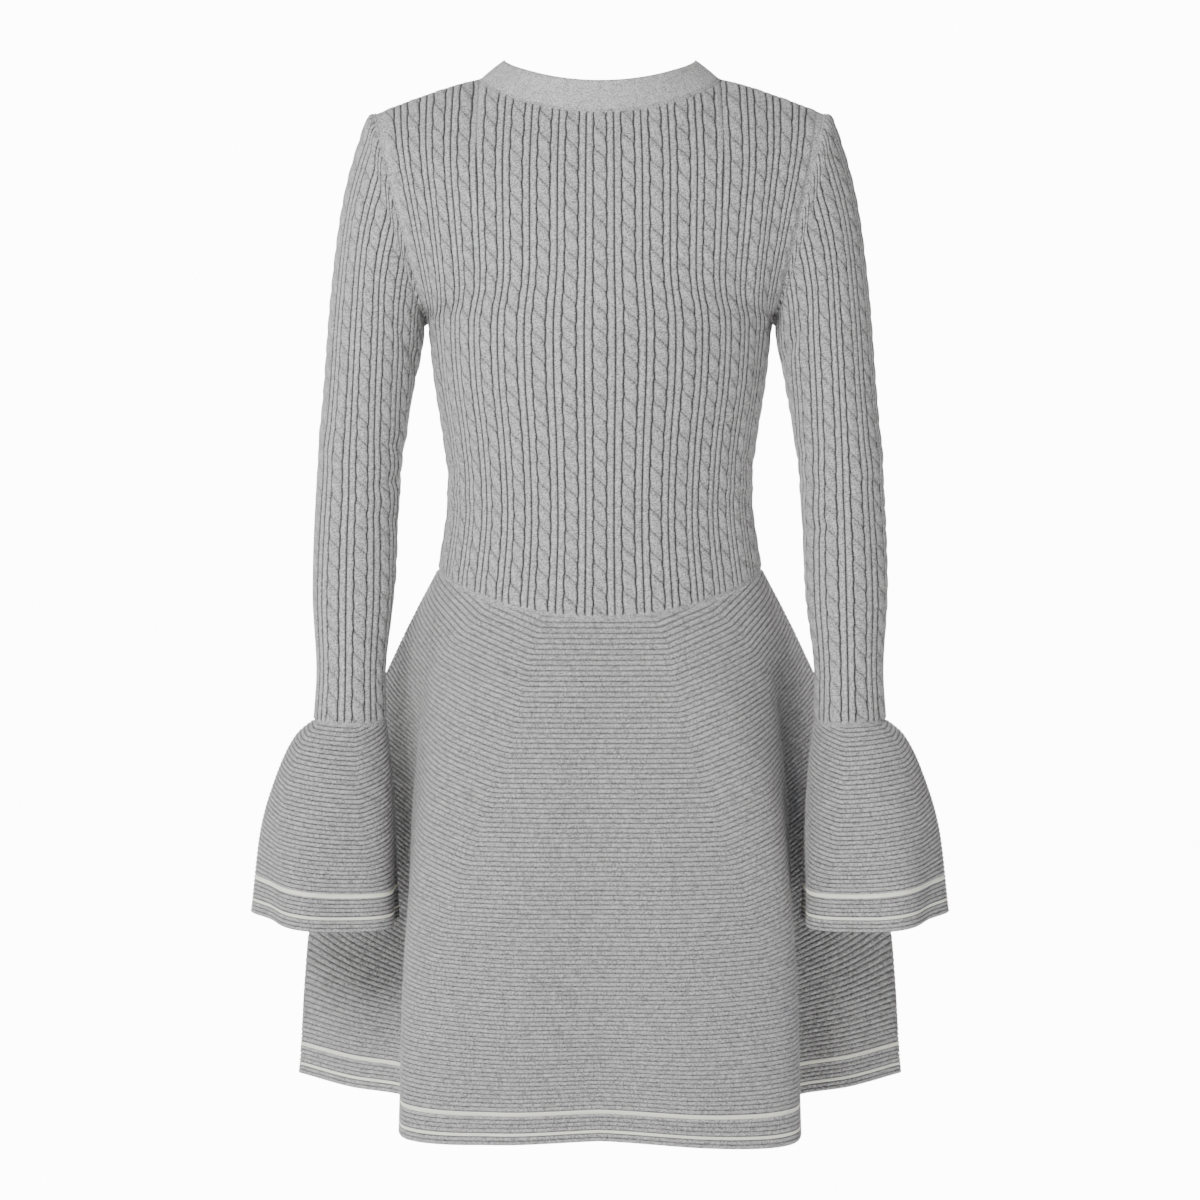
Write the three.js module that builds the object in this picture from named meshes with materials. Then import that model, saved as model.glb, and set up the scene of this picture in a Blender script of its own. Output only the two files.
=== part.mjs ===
// A long-sleeved knitted dress, hollow as it is worn: a ribbed and cabled bodice and sleeves,
// a flared skirt, two bell cuffs and a flat neck band. Millimetres, +Z up.
// The back faces -Y, the front faces +Y and the wearer's right is +X. The origin lies midway
// between the two points where the shoulder seams meet the neckline, where a wearer holds it up.
import * as THREE from 'three';

// The cloth
const WALL = 2;                 // thickness of the knit between its ribs
const SEAM_GAP = 0.3;           // space left between two pieces that are linked together
const RIB_RAISE = 1.2;          // how far a narrow rib stands above its grooves
const CABLE_RAISE = 1.7;        // how far the rope of a cable stands above its grooves
const CABLE_TUCK = 0.9;         // its height between two crossings
const CABLE_PITCH = 17;         // from one crossing of the two strands to the next
const CABLE_SHARE = 0.47;       // share of one repeat that the cable takes, two ribs take the rest
const PANEL_REPEATS = 17;       // cables across the back, and across the front
const SLEEVE_REPEATS = 10;      // cables round a sleeve

// The neck opening and the shoulders
const SHOULDER_HALF = 178;      // from the middle to the shoulder tip
const SHOULDER_DROP = 28;       // from the neckline down to the shoulder tip
const SHOULDER_CURVE = 1.2;     // 1 is a straight shoulder seam, more lets it fall later
const NECK_SHARE = 4.5 / 8.5;   // where the neckline meets the shoulder seam, as a share of the width
const NECK_DEPTH = { back: 62, front: 66 };   // from the shoulder line to the middle of the neckline
const NECK_DIP = { back: 24, front: 34 };     // how far the neckline dips towards its middle
const SCOOP = { back: 0, front: 0.17 };   // how much of the panel's height the neckline cuts away
const BAND_WIDTH = 24.5;        // height of the neck band
const UNDERARM = 0.6;           // height of the underarm, as a share of the bodice's height

// Bodice sections, from the waist seam up. "up" is the share of the bodice's height, "wrap" is 1
// where the panel reaches round to the side seam as half an ellipse, and 0 where it is nearly flat.
// Depths are measured from the shoulder line towards the side named.
const BODICE = [
  { up: 0.00, half: 127, sideZ: -388, wrap: 1.0, back: 92, backZ: -419, front: 96, frontZ: -411 },
  { up: 0.18, half: 119, sideZ: -330, wrap: 1.0, back: 82, backZ: -350, front: 88, frontZ: -344 },
  { up: 0.34, half: 122.5, sideZ: -286, wrap: 1.0, back: 86, backZ: -286, front: 98, frontZ: -282 },
  { up: 0.48, half: 130, sideZ: -236, wrap: 1.0, back: 95, backZ: -231, front: 113, frontZ: -228 },
  { up: 0.60, half: 135.5, sideZ: -192, wrap: 0.9, back: 100, backZ: -184, front: 114, frontZ: -182 },
];
// Above the underarm the side edge follows the armhole, an upright ellipse that leans outwards.
const ARMHOLE = { topX: SHOULDER_HALF, topZ: -SHOULDER_DROP, lowX: 135.5, lowZ: -192, halfDepth: 52 };
const YOKE = [
  { up: 0.70, wrap: 0.6, back: 101, backZ: -144, front: 107, frontZ: -144 },
  { up: 0.80, wrap: 0.35, back: 97, backZ: -104, front: 96, frontZ: -108 },
  { up: 0.90, wrap: 0.15, back: 85, backZ: -63, front: 83, frontZ: -71 },
];

// Sleeve sections below the armhole: the outer and inner edges as the back view shows them,
// the middle's place from back to front, and half the depth.
const SLEEVE = [
  { down: 0.00, outX: SHOULDER_HALF, outZ: -SHOULDER_DROP, inX: 135.5, inZ: -192, midY: 0, halfDepth: 52 },
  { down: 0.015, outX: 183, outZ: -31.5, inX: 140, inZ: -194, midY: 0, halfDepth: 51.5 },
  { down: 0.10, outX: 200, outZ: -88, inX: 142, inZ: -206, midY: -2, halfDepth: 48 },
  { down: 0.22, outX: 210.5, outZ: -160, inX: 145, inZ: -222, midY: -5, halfDepth: 43 },
  { down: 0.36, outX: 217, outZ: -240, inX: 153, inZ: -263, midY: -10, halfDepth: 40 },
  { down: 0.56, outX: 223.5, outZ: -326, inX: 161, inZ: -331, midY: -19, halfDepth: 37 },
  { down: 0.75, outX: 226, outZ: -404, inX: 165, inZ: -404, midY: -32, halfDepth: 33 },
  { down: 0.90, outX: 222.5, outZ: -464, inX: 171.5, inZ: -464, midY: -45, halfDepth: 29 },
  { down: 1.00, outX: 224.5, outZ: -504, inX: 171, inZ: -504, midY: -54, halfDepth: 29 },
];

// Bell cuff sections, from the wrist seam to the hem, read like the sleeve's
const CUFF = [
  { down: 0.00, outX: 224.5, outZ: -504, inX: 171, inZ: -504, midY: -54, halfDepth: 29 },
  { down: 0.12, outX: 239.5, outZ: -517, inX: 168.5, inZ: -523, midY: -57, halfDepth: 34 },
  { down: 0.32, outX: 253, outZ: -545, inX: 165, inZ: -554, midY: -62, halfDepth: 41 },
  { down: 0.60, outX: 265, outZ: -589, inX: 162, inZ: -599, midY: -66, halfDepth: 46 },
  { down: 1.00, outX: 270, outZ: -656, inX: 160, inZ: -663, midY: -69, halfDepth: 49 },
];
const CUFF_WAVES = { count: 5, depth: 4.5, turn: 0.35 };  // soft flutes round a cuff's hem
const CUFF_DIP = 5;             // how much lower the middle of a cuff's hem hangs

// Skirt sections. Each row gives the half outline seen from above as [x, y, z] at named places,
// from the middle (mid), over the flat of the middle lobe (flat), its rounded edge (lobe), its
// side (flank) and the valley behind the cuff (valley), out to the side fold (out, side).
const SKIRT_PLACES = ['mid', 'flat', 'lobe', 'flank', 'valley', 'out', 'side'];
const VALLEY_SHARE = 0.72;
const SKIRT_SHARES = [0, 0.2, 0.42, 0.58, VALLEY_SHARE, 0.87, 1];
const SKIRT_BACK = [
  { down: 0.16, mid: [0, 116, -482], flat: [32, 115, -480], lobe: [87, 104, -468], flank: [120, 76, -464],
    valley: [135, 46, -461], out: [149, 16, -456], side: [158, -14, -449] },
  { down: 0.36, mid: [0, 134, -562], flat: [51, 134, -560], lobe: [122, 113, -548], flank: [143, 62, -549],
    valley: [146, 16, -545], out: [172, -8, -539], side: [195, -36, -536] },
  { down: 0.65, mid: [0, 147, -681], flat: [72, 148, -679], lobe: [144, 120, -670], flank: [151, 56, -671],
    valley: [150, 2, -668], out: [193, -18, -662], side: [230, -46, -658] },
  { down: 1.00, mid: [0, 153, -823], flat: [84, 156, -826], lobe: [151, 130, -826], flank: [156, 66, -820],
    valley: [156, 8, -815], out: [202, -14, -811], side: [243.5, -48, -806] },
];
const SKIRT_FRONT = [
  { down: 0.16, mid: [0, 118, -478], flat: [32, 117, -476], lobe: [76, 108, -467], flank: [108, 89, -463],
    valley: [128, 70, -460], out: [148, 43, -455], side: [158, 14, -449] },
  { down: 0.36, mid: [0, 135, -559], flat: [48, 138, -557], lobe: [104, 128, -550], flank: [132, 101, -547],
    valley: [151, 88, -545], out: [182, 69, -541], side: [195, 36, -536] },
  { down: 0.65, mid: [0, 144, -680], flat: [64, 154, -679], lobe: [124, 146, -673], flank: [146, 111, -670],
    valley: [169, 100, -667], out: [213, 87, -663], side: [230, 46, -658] },
  { down: 1.00, mid: [0, 146, -824], flat: [76, 166, -827], lobe: [136, 160, -825], flank: [155, 118, -818],
    valley: [180, 104, -814], out: [227, 92, -810], side: [243.5, 48, -806] },
];
const SKIRT_LEAN = 4;           // how much lower the lobe's edge hangs on the right than on the left
// The waist seam is an ellipse. These are the places of the same seven points round it, as
// shares of a quarter turn: the knit is widened between them, so they spread out below.
const WAIST_SHARES = [0, 0.09, 0.21, 0.42, 0.62, 0.82, 1];
const SEAM_CURVE = 1.6;         // shape of the dip of the waist seam and of the neckline

// How finely each piece is faceted
const BODICE_LEVELS = [0, 0.12, 0.24, 0.36, 0.48, 0.6, 0.72, 0.83, 0.93, 1];
const SLEEVE_LEVELS = [0, 0.015, 0.1, 0.22, 0.36, 0.52, 0.68, 0.84, 1];
const CUFF_LINES = 28;
const CUFF_ROWS = [0, 0.07, 0.2, 0.4, 0.6, 0.8, 1];
const SKIRT_STEPS = [
  0, 0.1, 0.2, 0.28, 0.35, 0.41, 0.47, 0.53, 0.59, 0.65, 0.71, 0.77, 0.83, 0.88, 0.93, 0.97, 1,
];
const SKIRT_ROWS = 9;
const PLAIN_STRIP = 6;          // plain knit beside a seam, before the ribs and cables rise

const vec = (x, y, z) => new THREE.Vector3(x, y, z);
const mix = (a, b, t) => a + (b - a) * t;
const sideSign = { back: -1, front: 1 };

// Smooth curve through values at rising knots, with slopes from the neighbours on both sides.
function through(knots, values, at) {
  const last = knots.length - 1;
  let i = 0;
  while (i < last - 1 && at > knots[i + 1]) i += 1;
  const slope = (k) => {
    const a = Math.max(k - 1, 0);
    const b = Math.min(k + 1, last);
    return (values[b] - values[a]) / (knots[b] - knots[a]);
  };
  const span = knots[i + 1] - knots[i];
  const t = (at - knots[i]) / span;
  const t2 = t * t;
  const t3 = t2 * t;
  return values[i] * (2 * t3 - 3 * t2 + 1) + slope(i) * span * (t3 - 2 * t2 + t)
    + values[i + 1] * (3 * t2 - 2 * t3) + slope(i + 1) * span * (t3 - t2);
}

function throughPoints(knots, points, at) {
  return vec(...['x', 'y', 'z'].map((axis) => through(knots, points.map((p) => p[axis]), at)));
}

const column = (rows, key, at, knot) => through(rows.map((r) => r[knot]), rows.map((r) => r[key]), at);

// The bodice: a point of one section, at across = -1 to 1 from side to side
function sectionPoint(side, row, edge, across) {
  const turn = across * Math.PI / 2;
  const x = mix(across, Math.sin(turn), row.wrap) * edge.x;
  const y = mix(edge.y, row[side], Math.cos(turn)) * sideSign[side];
  const z = mix(edge.z, row[`${side}Z`], Math.max(Math.cos(turn), 0) ** SEAM_CURVE);
  return vec(x, y, z);
}

function armholeEdge(up) {
  const turn = Math.PI * (1 - (up - UNDERARM) / (1 - UNDERARM));
  const reach = (1 + Math.cos(turn)) / 2;
  return vec(mix(ARMHOLE.lowX, ARMHOLE.topX, reach), ARMHOLE.halfDepth * Math.sin(turn),
    mix(ARMHOLE.lowZ, ARMHOLE.topZ, reach));
}

// The top edge of a panel: the neckline in the middle and a shoulder seam on each side of it
function topPoint(side, across) {
  const x = across * SHOULDER_HALF;
  const share = Math.abs(across) / NECK_SHARE;
  if (share <= 1) {
    const bow = Math.max(1 - share * share, 0);
    const y = sideSign[side] * NECK_DEPTH[side] * Math.sqrt(bow);
    return vec(x, y, -NECK_DIP[side] * bow ** (SEAM_CURVE / 2));
  }
  const along = (Math.abs(across) - NECK_SHARE) / (1 - NECK_SHARE);
  return vec(x, 0, -SHOULDER_DROP * along ** SHOULDER_CURVE);
}

const ROUND_TOP = { from: NECK_SHARE - 0.06, to: NECK_SHARE + 0.1, up: 1.1 };
// The middle surface of a bodice panel. up runs from 0 at the waist seam to 1 at the top edge.
function bodicePoint(side, across, up) {
  const low = BODICE.map((row) => sectionPoint(side, row, vec(row.half, 0, row.sideZ), across));
  const high = YOKE.map((row) => sectionPoint(side, row, armholeEdge(row.up), across));
  const knots = [...BODICE, ...YOKE].map((row) => row.up);
  const points = [...low, ...high, topPoint(side, across)];
  // Past the shoulder seam the cloth runs on over the shoulder, which rounds its top.
  const over = THREE.MathUtils.smoothstep(Math.abs(across), ROUND_TOP.from, ROUND_TOP.to);
  const before = points[points.length - 2];
  const top = points[points.length - 1];
  const mirrored = vec(before.x, -before.y, before.z);
  const onwards = top.clone().multiplyScalar(2).sub(before);
  points.push(onwards.lerp(mirrored, over));
  return throughPoints([...knots, 1, ROUND_TOP.up], points, up);
}

// Where the neckline cuts a panel off, as a height share
function topOf(side, across) {
  const share = Math.min(Math.abs(across) / NECK_SHARE, 1);
  return 1 - SCOOP[side] * Math.sqrt(1 - share * share);
}

// The skirt. across runs from -1 to 1 from side to side, and down from 0 at the waist to 1 at the hem.
function waistPoint(side, across) {
  const quarter = through(SKIRT_SHARES, WAIST_SHARES, Math.abs(across));
  return sectionPoint(side, BODICE[0], vec(BODICE[0].half, 0, BODICE[0].sideZ), Math.sign(across) * quarter);
}

function skirtPoint(side, across, down) {
  const rows = side === 'back' ? SKIRT_BACK : SKIRT_FRONT;
  const share = Math.abs(across);
  const points = rows.map((row) => {
    const axis = (k) => through(SKIRT_SHARES, SKIRT_PLACES.map((place) => row[place][k]), share);
    const [x, y, z] = [axis(0), axis(1), axis(2)];
    const swell = Math.sin(Math.PI * Math.min(share / VALLEY_SHARE, 1)) ** 2;
    const lean = across > 0 ? SKIRT_LEAN * row.down ** 3 * swell : 0;
    return vec(x * Math.sign(across), y * sideSign[side], z - lean);
  });
  return throughPoints([0, ...rows.map((row) => row.down)], [waistPoint(side, across), ...points], down);
}

// A tube round an arm, on the wearer's right. turn is 0 at the outer edge, a quarter at the back.
function armRing(rows, turn, down, waves = 0) {
  const value = (key) => column(rows, key, down, 'down');
  const angle = turn * 2 * Math.PI;
  const flute = 1 + waves * down * down * Math.cos(CUFF_WAVES.count * angle + CUFF_WAVES.turn)
    * CUFF_WAVES.depth / value('halfDepth');
  const across = Math.cos(angle) * flute;
  const x = mix(value('inX'), value('outX'), (1 + across) / 2);
  const z = mix(value('inZ'), value('outZ'), (1 + across) / 2);
  const dip = waves * CUFF_DIP * down * Math.sin(angle) ** 2;
  return vec(x, value('midY') - Math.sin(angle) * value('halfDepth') * flute, z - dip);
}

// The sleeve starts on the armhole edges of the two panels.
function sleevePoint(turn, down) {
  const around = turn - Math.floor(turn);
  const side = around <= 0.5 ? 'back' : 'front';
  const up = armholeUp(around <= 0.5 ? around : 1 - around);
  const seam = bodicePoint(side, 1, up);
  const start = armRing(SLEEVE, around, 0);
  const fade = 1 - THREE.MathUtils.smoothstep(down, 0, SLEEVE[2].down);
  return armRing(SLEEVE, around, down).add(seam.sub(start).multiplyScalar(fade));
}

const cuffPoint = (turn, down) => armRing(CUFF, turn, down, 1);

const STEP = 0.002;             // step between the points that a direction is taken from
// Outward normal of a surface, from steps along its two directions
function normalOf(surface, u, v, handed) {
  const along = (du, dv) => surface(u + du, v + dv).sub(surface(u - du, v - dv));
  return along(STEP, 0).cross(along(0, STEP)).multiplyScalar(handed).normalize();
}

const TINY = 1e-6;
const PANEL_END = 0.997;        // normals at a side seam are taken just inside it
const JUST_INSIDE = 0.004;      // and so are those of the next piece at a seam
function bodiceNormal(side, across, up) {
  const u = THREE.MathUtils.clamp(across, -PANEL_END, PANEL_END);
  return normalOf((a, b) => bodicePoint(side, a, b), u, Math.min(up, PANEL_END), -sideSign[side]);
}

function skirtNormal(side, across, down) {
  const u = THREE.MathUtils.clamp(across, -PANEL_END, PANEL_END);
  return normalOf((a, b) => skirtPoint(side, a, Math.max(b, 0)), u, Math.min(down, PANEL_END), sideSign[side]);
}

const sleeveNormal = (turn, down) => normalOf((a, b) => sleevePoint(a, Math.max(b, 0)), turn, down, 1);
const cuffNormal = (turn, down) => normalOf((a, b) => cuffPoint(a, Math.max(b, 0)), turn, down, 1);

// Two walls that meet at a seam share one mitred rim direction, and each keeps half the gap from it.
const SHARPEST_MITRE = 0.45;
function mitre(a, b) {
  return a.clone().add(b).divideScalar(Math.max(1 + a.dot(b), SHARPEST_MITRE));
}

// Joins two runs of vertices with triangles. Each entry has its place along the run and its index.
// The outside and the inside of a wall are split the same way, so the two never cross.
function zip(faces, a, b, flipped = false) {
  let i = 0;
  let j = 0;
  while (i < a.length - 1 || j < b.length - 1) {
    const advanceA = j === b.length - 1
      || (i < a.length - 1 && a[i + 1].at - b[j].at <= b[j + 1].at - a[i].at);
    const next = advanceA ? a[i + 1] : b[j + 1];
    if (flipped) faces.push(b[j].index, a[i].index, next.index);
    else faces.push(a[i].index, b[j].index, next.index);
    if (advanceA) i += 1;
    else j += 1;
  }
}

// A closed wall between outer and inner lines. Each line is { at, points: [{ at, point }] }, and
// the points of a line run the same way. A round wall closes on itself, a panel has four edges.
function wallGeometry(outer, inner, round) {
  const positions = [];
  const faces = [];
  const indexed = (lines) => lines.map((line) => line.points.map(({ at, point }) => {
    positions.push(point.x, point.y, point.z);
    return { at, index: positions.length / 3 - 1 };
  }));
  const sheets = [indexed(outer), indexed(inner)];
  const ends = [outer, inner].map((lines, k) => ['first', 'last'].map((end) => {
    const corner = end === 'first' ? 0 : -1;
    const run = lines.map((line, n) => ({ at: line.at, index: sheets[k][n].at(corner).index }));
    return round ? [...run, { at: run[0].at + 1, index: run[0].index }] : run;
  }));
  const count = (lines) => (round ? lines.length : lines.length - 1);
  sheets.forEach((sheet, k) => {
    for (let n = 0; n < count(sheet); n += 1) zip(faces, sheet[n], sheet[(n + 1) % sheet.length], k === 1);
  });
  zip(faces, ends[0][0], ends[1][0]);
  zip(faces, ends[1][1], ends[0][1]);
  if (!round) {
    zip(faces, sheets[1][0], sheets[0][0]);
    zip(faces, sheets[0].at(-1), sheets[1].at(-1));
  }
  const geometry = new THREE.BufferGeometry();
  geometry.setAttribute('position', new THREE.Float32BufferAttribute(positions, 3));
  geometry.setIndex(faces);
  return facingOut(geometry);
}

function facingOut(geometry) {
  const p = geometry.attributes.position;
  const index = geometry.index.array;
  const corner = (k) => vec(p.getX(index[k]), p.getY(index[k]), p.getZ(index[k]));
  let volume = 0;
  for (let k = 0; k < index.length; k += 3) volume += corner(k).dot(corner(k + 1).cross(corner(k + 2)));
  if (volume < 0) {
    for (let k = 0; k < index.length; k += 3) [index[k], index[k + 1]] = [index[k + 1], index[k]];
  }
  return geometry;
}

const evenly = (count) => Array.from({ length: count + 1 }, (_, k) => k / count);

// One repeat of the knit: a narrow rib, the cable, a narrow rib, with a groove between them
function repeatLines(repeats) {
  const rib = (1 - CABLE_SHARE) / 2;
  const lines = [];
  for (let k = 0; k < repeats; k += 1) {
    lines.push({ at: k, kind: 'groove' }, { at: k + rib / 2, kind: 'rib' });
    lines.push({ at: k + rib, kind: 'groove' }, { at: k + 0.5, kind: 'cable' });
    lines.push({ at: k + 1 - rib, kind: 'groove' }, { at: k + 1 - rib / 2, kind: 'rib' });
  }
  return lines.map((line) => ({ ...line, at: line.at / repeats }));
}

// The places along a cable's crest: it swells where the strands cross and sinks between.
function crestStops(length) {
  const crossings = Math.round((length - 2 * PLAIN_STRIP) / CABLE_PITCH);
  const strip = PLAIN_STRIP / length;
  const stops = [{ at: 0, raise: 0 }];
  for (let k = 0; k < crossings; k += 1) {
    stops.push({ at: mix(strip, 1 - strip, k / crossings), raise: CABLE_TUCK });
    stops.push({ at: mix(strip, 1 - strip, (k + 0.5) / crossings), raise: CABLE_RAISE });
  }
  return [...stops, { at: 1 - strip, raise: CABLE_TUCK }, { at: 1, raise: 0 }];
}

// Ribbed sheets of a wall. place(u, v, out) gives the point that lies out from the middle surface.
function ribbedLines(repeats, levelsAt, length, place) {
  return repeatLines(repeats).map(({ at, kind }) => {
    const levels = levelsAt(at);
    let stops = levels.map((v) => ({ at: v, raise: 0 }));
    if (kind === 'cable') stops = crestStops(length(at));
    if (kind === 'rib') {
      const strip = PLAIN_STRIP / length(at);
      const between = levels.filter((v) => v > 2 * strip && v < 1 - 2 * strip);
      const raised = [strip, ...between, 1 - strip].map((v) => ({ at: v, raise: RIB_RAISE }));
      stops = [stops[0], ...raised, stops.at(-1)];
    }
    return { at, points: stops.map((s) => ({ at: s.at, point: place(at, s.at, WALL / 2 + s.raise) })) };
  });
}

const PANEL_BOW = 1.02;         // length of a panel along its curve against the straight line
// Bodice panels
function bodicePanel(side) {
  const acrossOf = (at) => at * 2 - 1;
  const place = (at, v, out) => {
    const across = acrossOf(at);
    const up = v * topOf(side, across);
    const point = bodicePoint(side, across, up);
    let lean = bodiceNormal(side, across, up);
    const inward = vec(0, 0, 0);
    if (v === 0) {
      lean = mitre(lean, waistLean(side, point));
      inward.z = SEAM_GAP / 2;
    }
    if (v === 1 && Math.abs(across) <= NECK_SHARE + TINY) {
      lean = neckLean(side, across, up);
      inward.add(towardsWaist(side, across, up).multiplyScalar(SEAM_GAP / 2));
    } else if (Math.abs(across) === 1 && v > 0) {
      if (up >= UNDERARM) {
        lean = armLean(side, across, up);
        inward.x -= Math.sign(across) * SEAM_GAP / 2;
      } else {
        lean.setY(0).normalize();
      }
    }
    if (Math.abs(across) === 1 || (v === 1 && Math.abs(across) >= NECK_SHARE - TINY)) {
      if (v === 0) lean.y = 0;
      if (v === 1 && Math.abs(across) > NECK_SHARE + TINY) lean.y = 0;
      inward.y += sideSign[side] * SEAM_GAP / 2;
    }
    return point.add(inward).addScaledVector(lean, out);
  };
  const length = (at) => {
    const across = acrossOf(at);
    const chord = bodicePoint(side, across, 0).distanceTo(bodicePoint(side, across, topOf(side, across)));
    return chord * PANEL_BOW;
  };
  // The side edge has a vertex for each line of the sleeve that it is linked to.
  const below = BODICE_LEVELS.filter((v) => v < UNDERARM + TINY);
  const edgeLevels = (turns) => [
    ...below, ...turns.filter((turn) => turn < 0.5 - TINY).map((turn) => armholeUp(turn)).reverse(),
  ];
  const line = (at, out, levels) => {
    const points = levels.map((v) => ({ at: v, point: place(at, v, out) }));
    return { at, points };
  };
  const outerEdge = edgeLevels(repeatLines(SLEEVE_REPEATS).map((sleeveLine) => sleeveLine.at));
  const innerEdge = edgeLevels(evenly(SLEEVE_REPEATS * 2));
  const outermost = (at) => Math.min(at, 1 - at) < 1 / PANEL_REPEATS + TINY;
  const body = ribbedLines(PANEL_REPEATS, (at) => (outermost(at) ? innerEdge : BODICE_LEVELS), length, place);
  // A plain strip runs along the armhole, so the outermost rib stays level.
  const outer = [line(0, WALL / 2, outerEdge), ...body.slice(1), line(1, WALL / 2, outerEdge)];
  outer[1] = line(outer[1].at, WALL / 2, innerEdge);
  outer[outer.length - 2] = line(outer.at(-2).at, WALL / 2, innerEdge);
  const inner = evenly(PANEL_REPEATS).map((at) => line(at, -WALL / 2, BODICE_LEVELS));
  inner[0] = line(0, -WALL / 2, innerEdge);
  inner[PANEL_REPEATS] = line(1, -WALL / 2, innerEdge);
  return wallGeometry(outer, inner, false);
}

function towardsWaist(side, across, up) {
  return bodicePoint(side, across, up - STEP).sub(bodicePoint(side, across, up)).normalize();
}

// Where a point of the waist seam lies across its panel
function acrossWaist(point) {
  return Math.asin(THREE.MathUtils.clamp(point.x / BODICE[0].half, -1, 1)) / (Math.PI / 2);
}

// The rim direction that the bodice and the skirt share at a place on the waist seam
function waistLean(side, point) {
  const across = acrossWaist(point);
  const share = through(WAIST_SHARES, SKIRT_SHARES, Math.abs(across));
  return skirtNormal(side, Math.sign(across) * share, JUST_INSIDE);
}

const neckTurn = (across) => Math.asin(THREE.MathUtils.clamp(across / NECK_SHARE, -1, 1)) / (2 * Math.PI);

// The rim direction that a panel and the neck band share at the neckline
function neckLean(side, across, up) {
  const turn = neckTurn(across);
  const band = bandNormal(side === 'back' ? turn : 0.5 - turn, JUST_INSIDE);
  const panel = bodiceNormal(side, across, up);
  if (Math.abs(across) < NECK_SHARE - TINY) return mitre(band, panel);
  return mitre(band.setY(0).normalize(), panel.setY(0).normalize());
}

// The rim direction that a panel and a sleeve share at the armhole
const armholeUp = (turn) => 1 - (1 - UNDERARM) * turn * 2;

function armLean(side, across, up) {
  const turn = (1 - up) / (1 - UNDERARM) / 2;
  const panel = bodiceNormal(side, Math.abs(across), up);
  const sleeve = sleeveNormal(side === 'back' ? turn : 1 - turn, JUST_INSIDE);
  if (turn < TINY || turn > 0.5 - TINY) {
    panel.setY(0).normalize();
    sleeve.setY(0).normalize();
  }
  const lean = mitre(panel, sleeve);
  lean.x *= Math.sign(across);
  return lean;
}

// Sleeves, built on the wearer's right and mirrored for the left
function mirroredIf(flip, point) {
  return flip ? vec(-point.x, point.y, point.z) : point;
}

function sleeveTube(flip) {
  const place = (at, v, out) => {
    const turn = at - Math.floor(at);
    const point = sleevePoint(turn, v);
    let lean = sleeveNormal(turn, v);
    if (v === 0) {
      const half = turn <= 0.5 ? turn : 1 - turn;
      lean = armLean(turn <= 0.5 ? 'back' : 'front', 1, armholeUp(half));
      point.x += SEAM_GAP / 2;
    }
    if (v === 1) {
      lean = mitre(lean, cuffNormal(turn, JUST_INSIDE));
      point.z += SEAM_GAP / 2;
    }
    return mirroredIf(flip, point.addScaledVector(lean, out));
  };
  const length = (at) => {
    const stops = SLEEVE_LEVELS.map((v) => sleevePoint(at, v));
    return stops.slice(1).reduce((sum, p, k) => sum + p.distanceTo(stops[k]), 0);
  };
  const outer = ribbedLines(SLEEVE_REPEATS, () => SLEEVE_LEVELS, length, place);
  const inner = evenly(SLEEVE_REPEATS * 2).slice(0, -1).map((at) => ({
    at, points: SLEEVE_LEVELS.map((v) => ({ at: v, point: place(at, v, -WALL / 2) })),
  }));
  return wallGeometry(outer, inner, true);
}

function bellCuff(flip) {
  const place = (at, v, out) => {
    const point = cuffPoint(at, v);
    let lean = cuffNormal(at, v);
    if (v === 0) {
      lean = mitre(lean, sleeveNormal(at, 1 - JUST_INSIDE));
      point.z -= SEAM_GAP / 2;
    }
    return mirroredIf(flip, point.addScaledVector(lean, out));
  };
  const sheet = (out) => evenly(CUFF_LINES).slice(0, -1).map((at) => ({
    at, points: CUFF_ROWS.map((v) => ({ at: v, point: place(at, v, out) })),
  }));
  return wallGeometry(sheet(WALL / 2), sheet(-WALL / 2), true);
}

function skirtPanel(side) {
  const place = (at, v, out) => {
    const across = at * 2 - 1;
    const point = skirtPoint(side, across, v);
    let lean = skirtNormal(side, across, v);
    if (v === 0) {
      lean = mitre(waistLean(side, point), bodiceNormal(side, acrossWaist(point), 0));
      point.z -= SEAM_GAP / 2;
    }
    if (Math.abs(across) === 1) {
      if (v > 0) lean = mitre(skirtNormal('back', across, v), skirtNormal('front', across, v));
      else lean.y = 0;
      lean.normalize();
      point.y += sideSign[side] * SEAM_GAP / 2;
    }
    return point.addScaledVector(lean, out);
  };
  const steps = [...SKIRT_STEPS.slice(1).map((step) => -step).reverse(), ...SKIRT_STEPS];
  const sheet = (out) => steps.map((step) => (step + 1) / 2).map((at) => ({
    at, points: evenly(SKIRT_ROWS).map((v) => ({ at: v, point: place(at, v, out) })),
  }));
  return wallGeometry(sheet(WALL / 2), sheet(-WALL / 2), false);
}

// The neck band: at = 0 at the middle of the back, half way round at the middle of the front
function neckPlace(at) {
  const turn = at * 2 * Math.PI;
  const side = Math.cos(turn) >= 0 ? 'back' : 'front';
  const across = Math.sin(turn) * NECK_SHARE;
  return { side, across, up: topOf(side, across) };
}

const BAND_LEAN = { back: 0.1, side: 1.25, front: 0.35 };   // how far the band leans in as it rises

function bandPoint(at, v) {
  const { side, across, up } = neckPlace(at);
  const base = bodicePoint(side, across, up);
  const around = Math.abs(Math.sin(at * 2 * Math.PI));
  const inward = vec(-base.x, -base.y, 0).normalize();
  const lean = mix(BAND_LEAN[side], BAND_LEAN.side, around ** 3);
  const along = vec(0, 0, 1).addScaledVector(inward, lean).normalize();
  if (side === 'front') along.lerp(towardsWaist(side, across, up).negate(), 1 - around ** 2).normalize();
  return base.addScaledVector(along, v * BAND_WIDTH);
}

const bandNormal = (at, v) => normalOf(bandPoint, at, v, 1);

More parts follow.
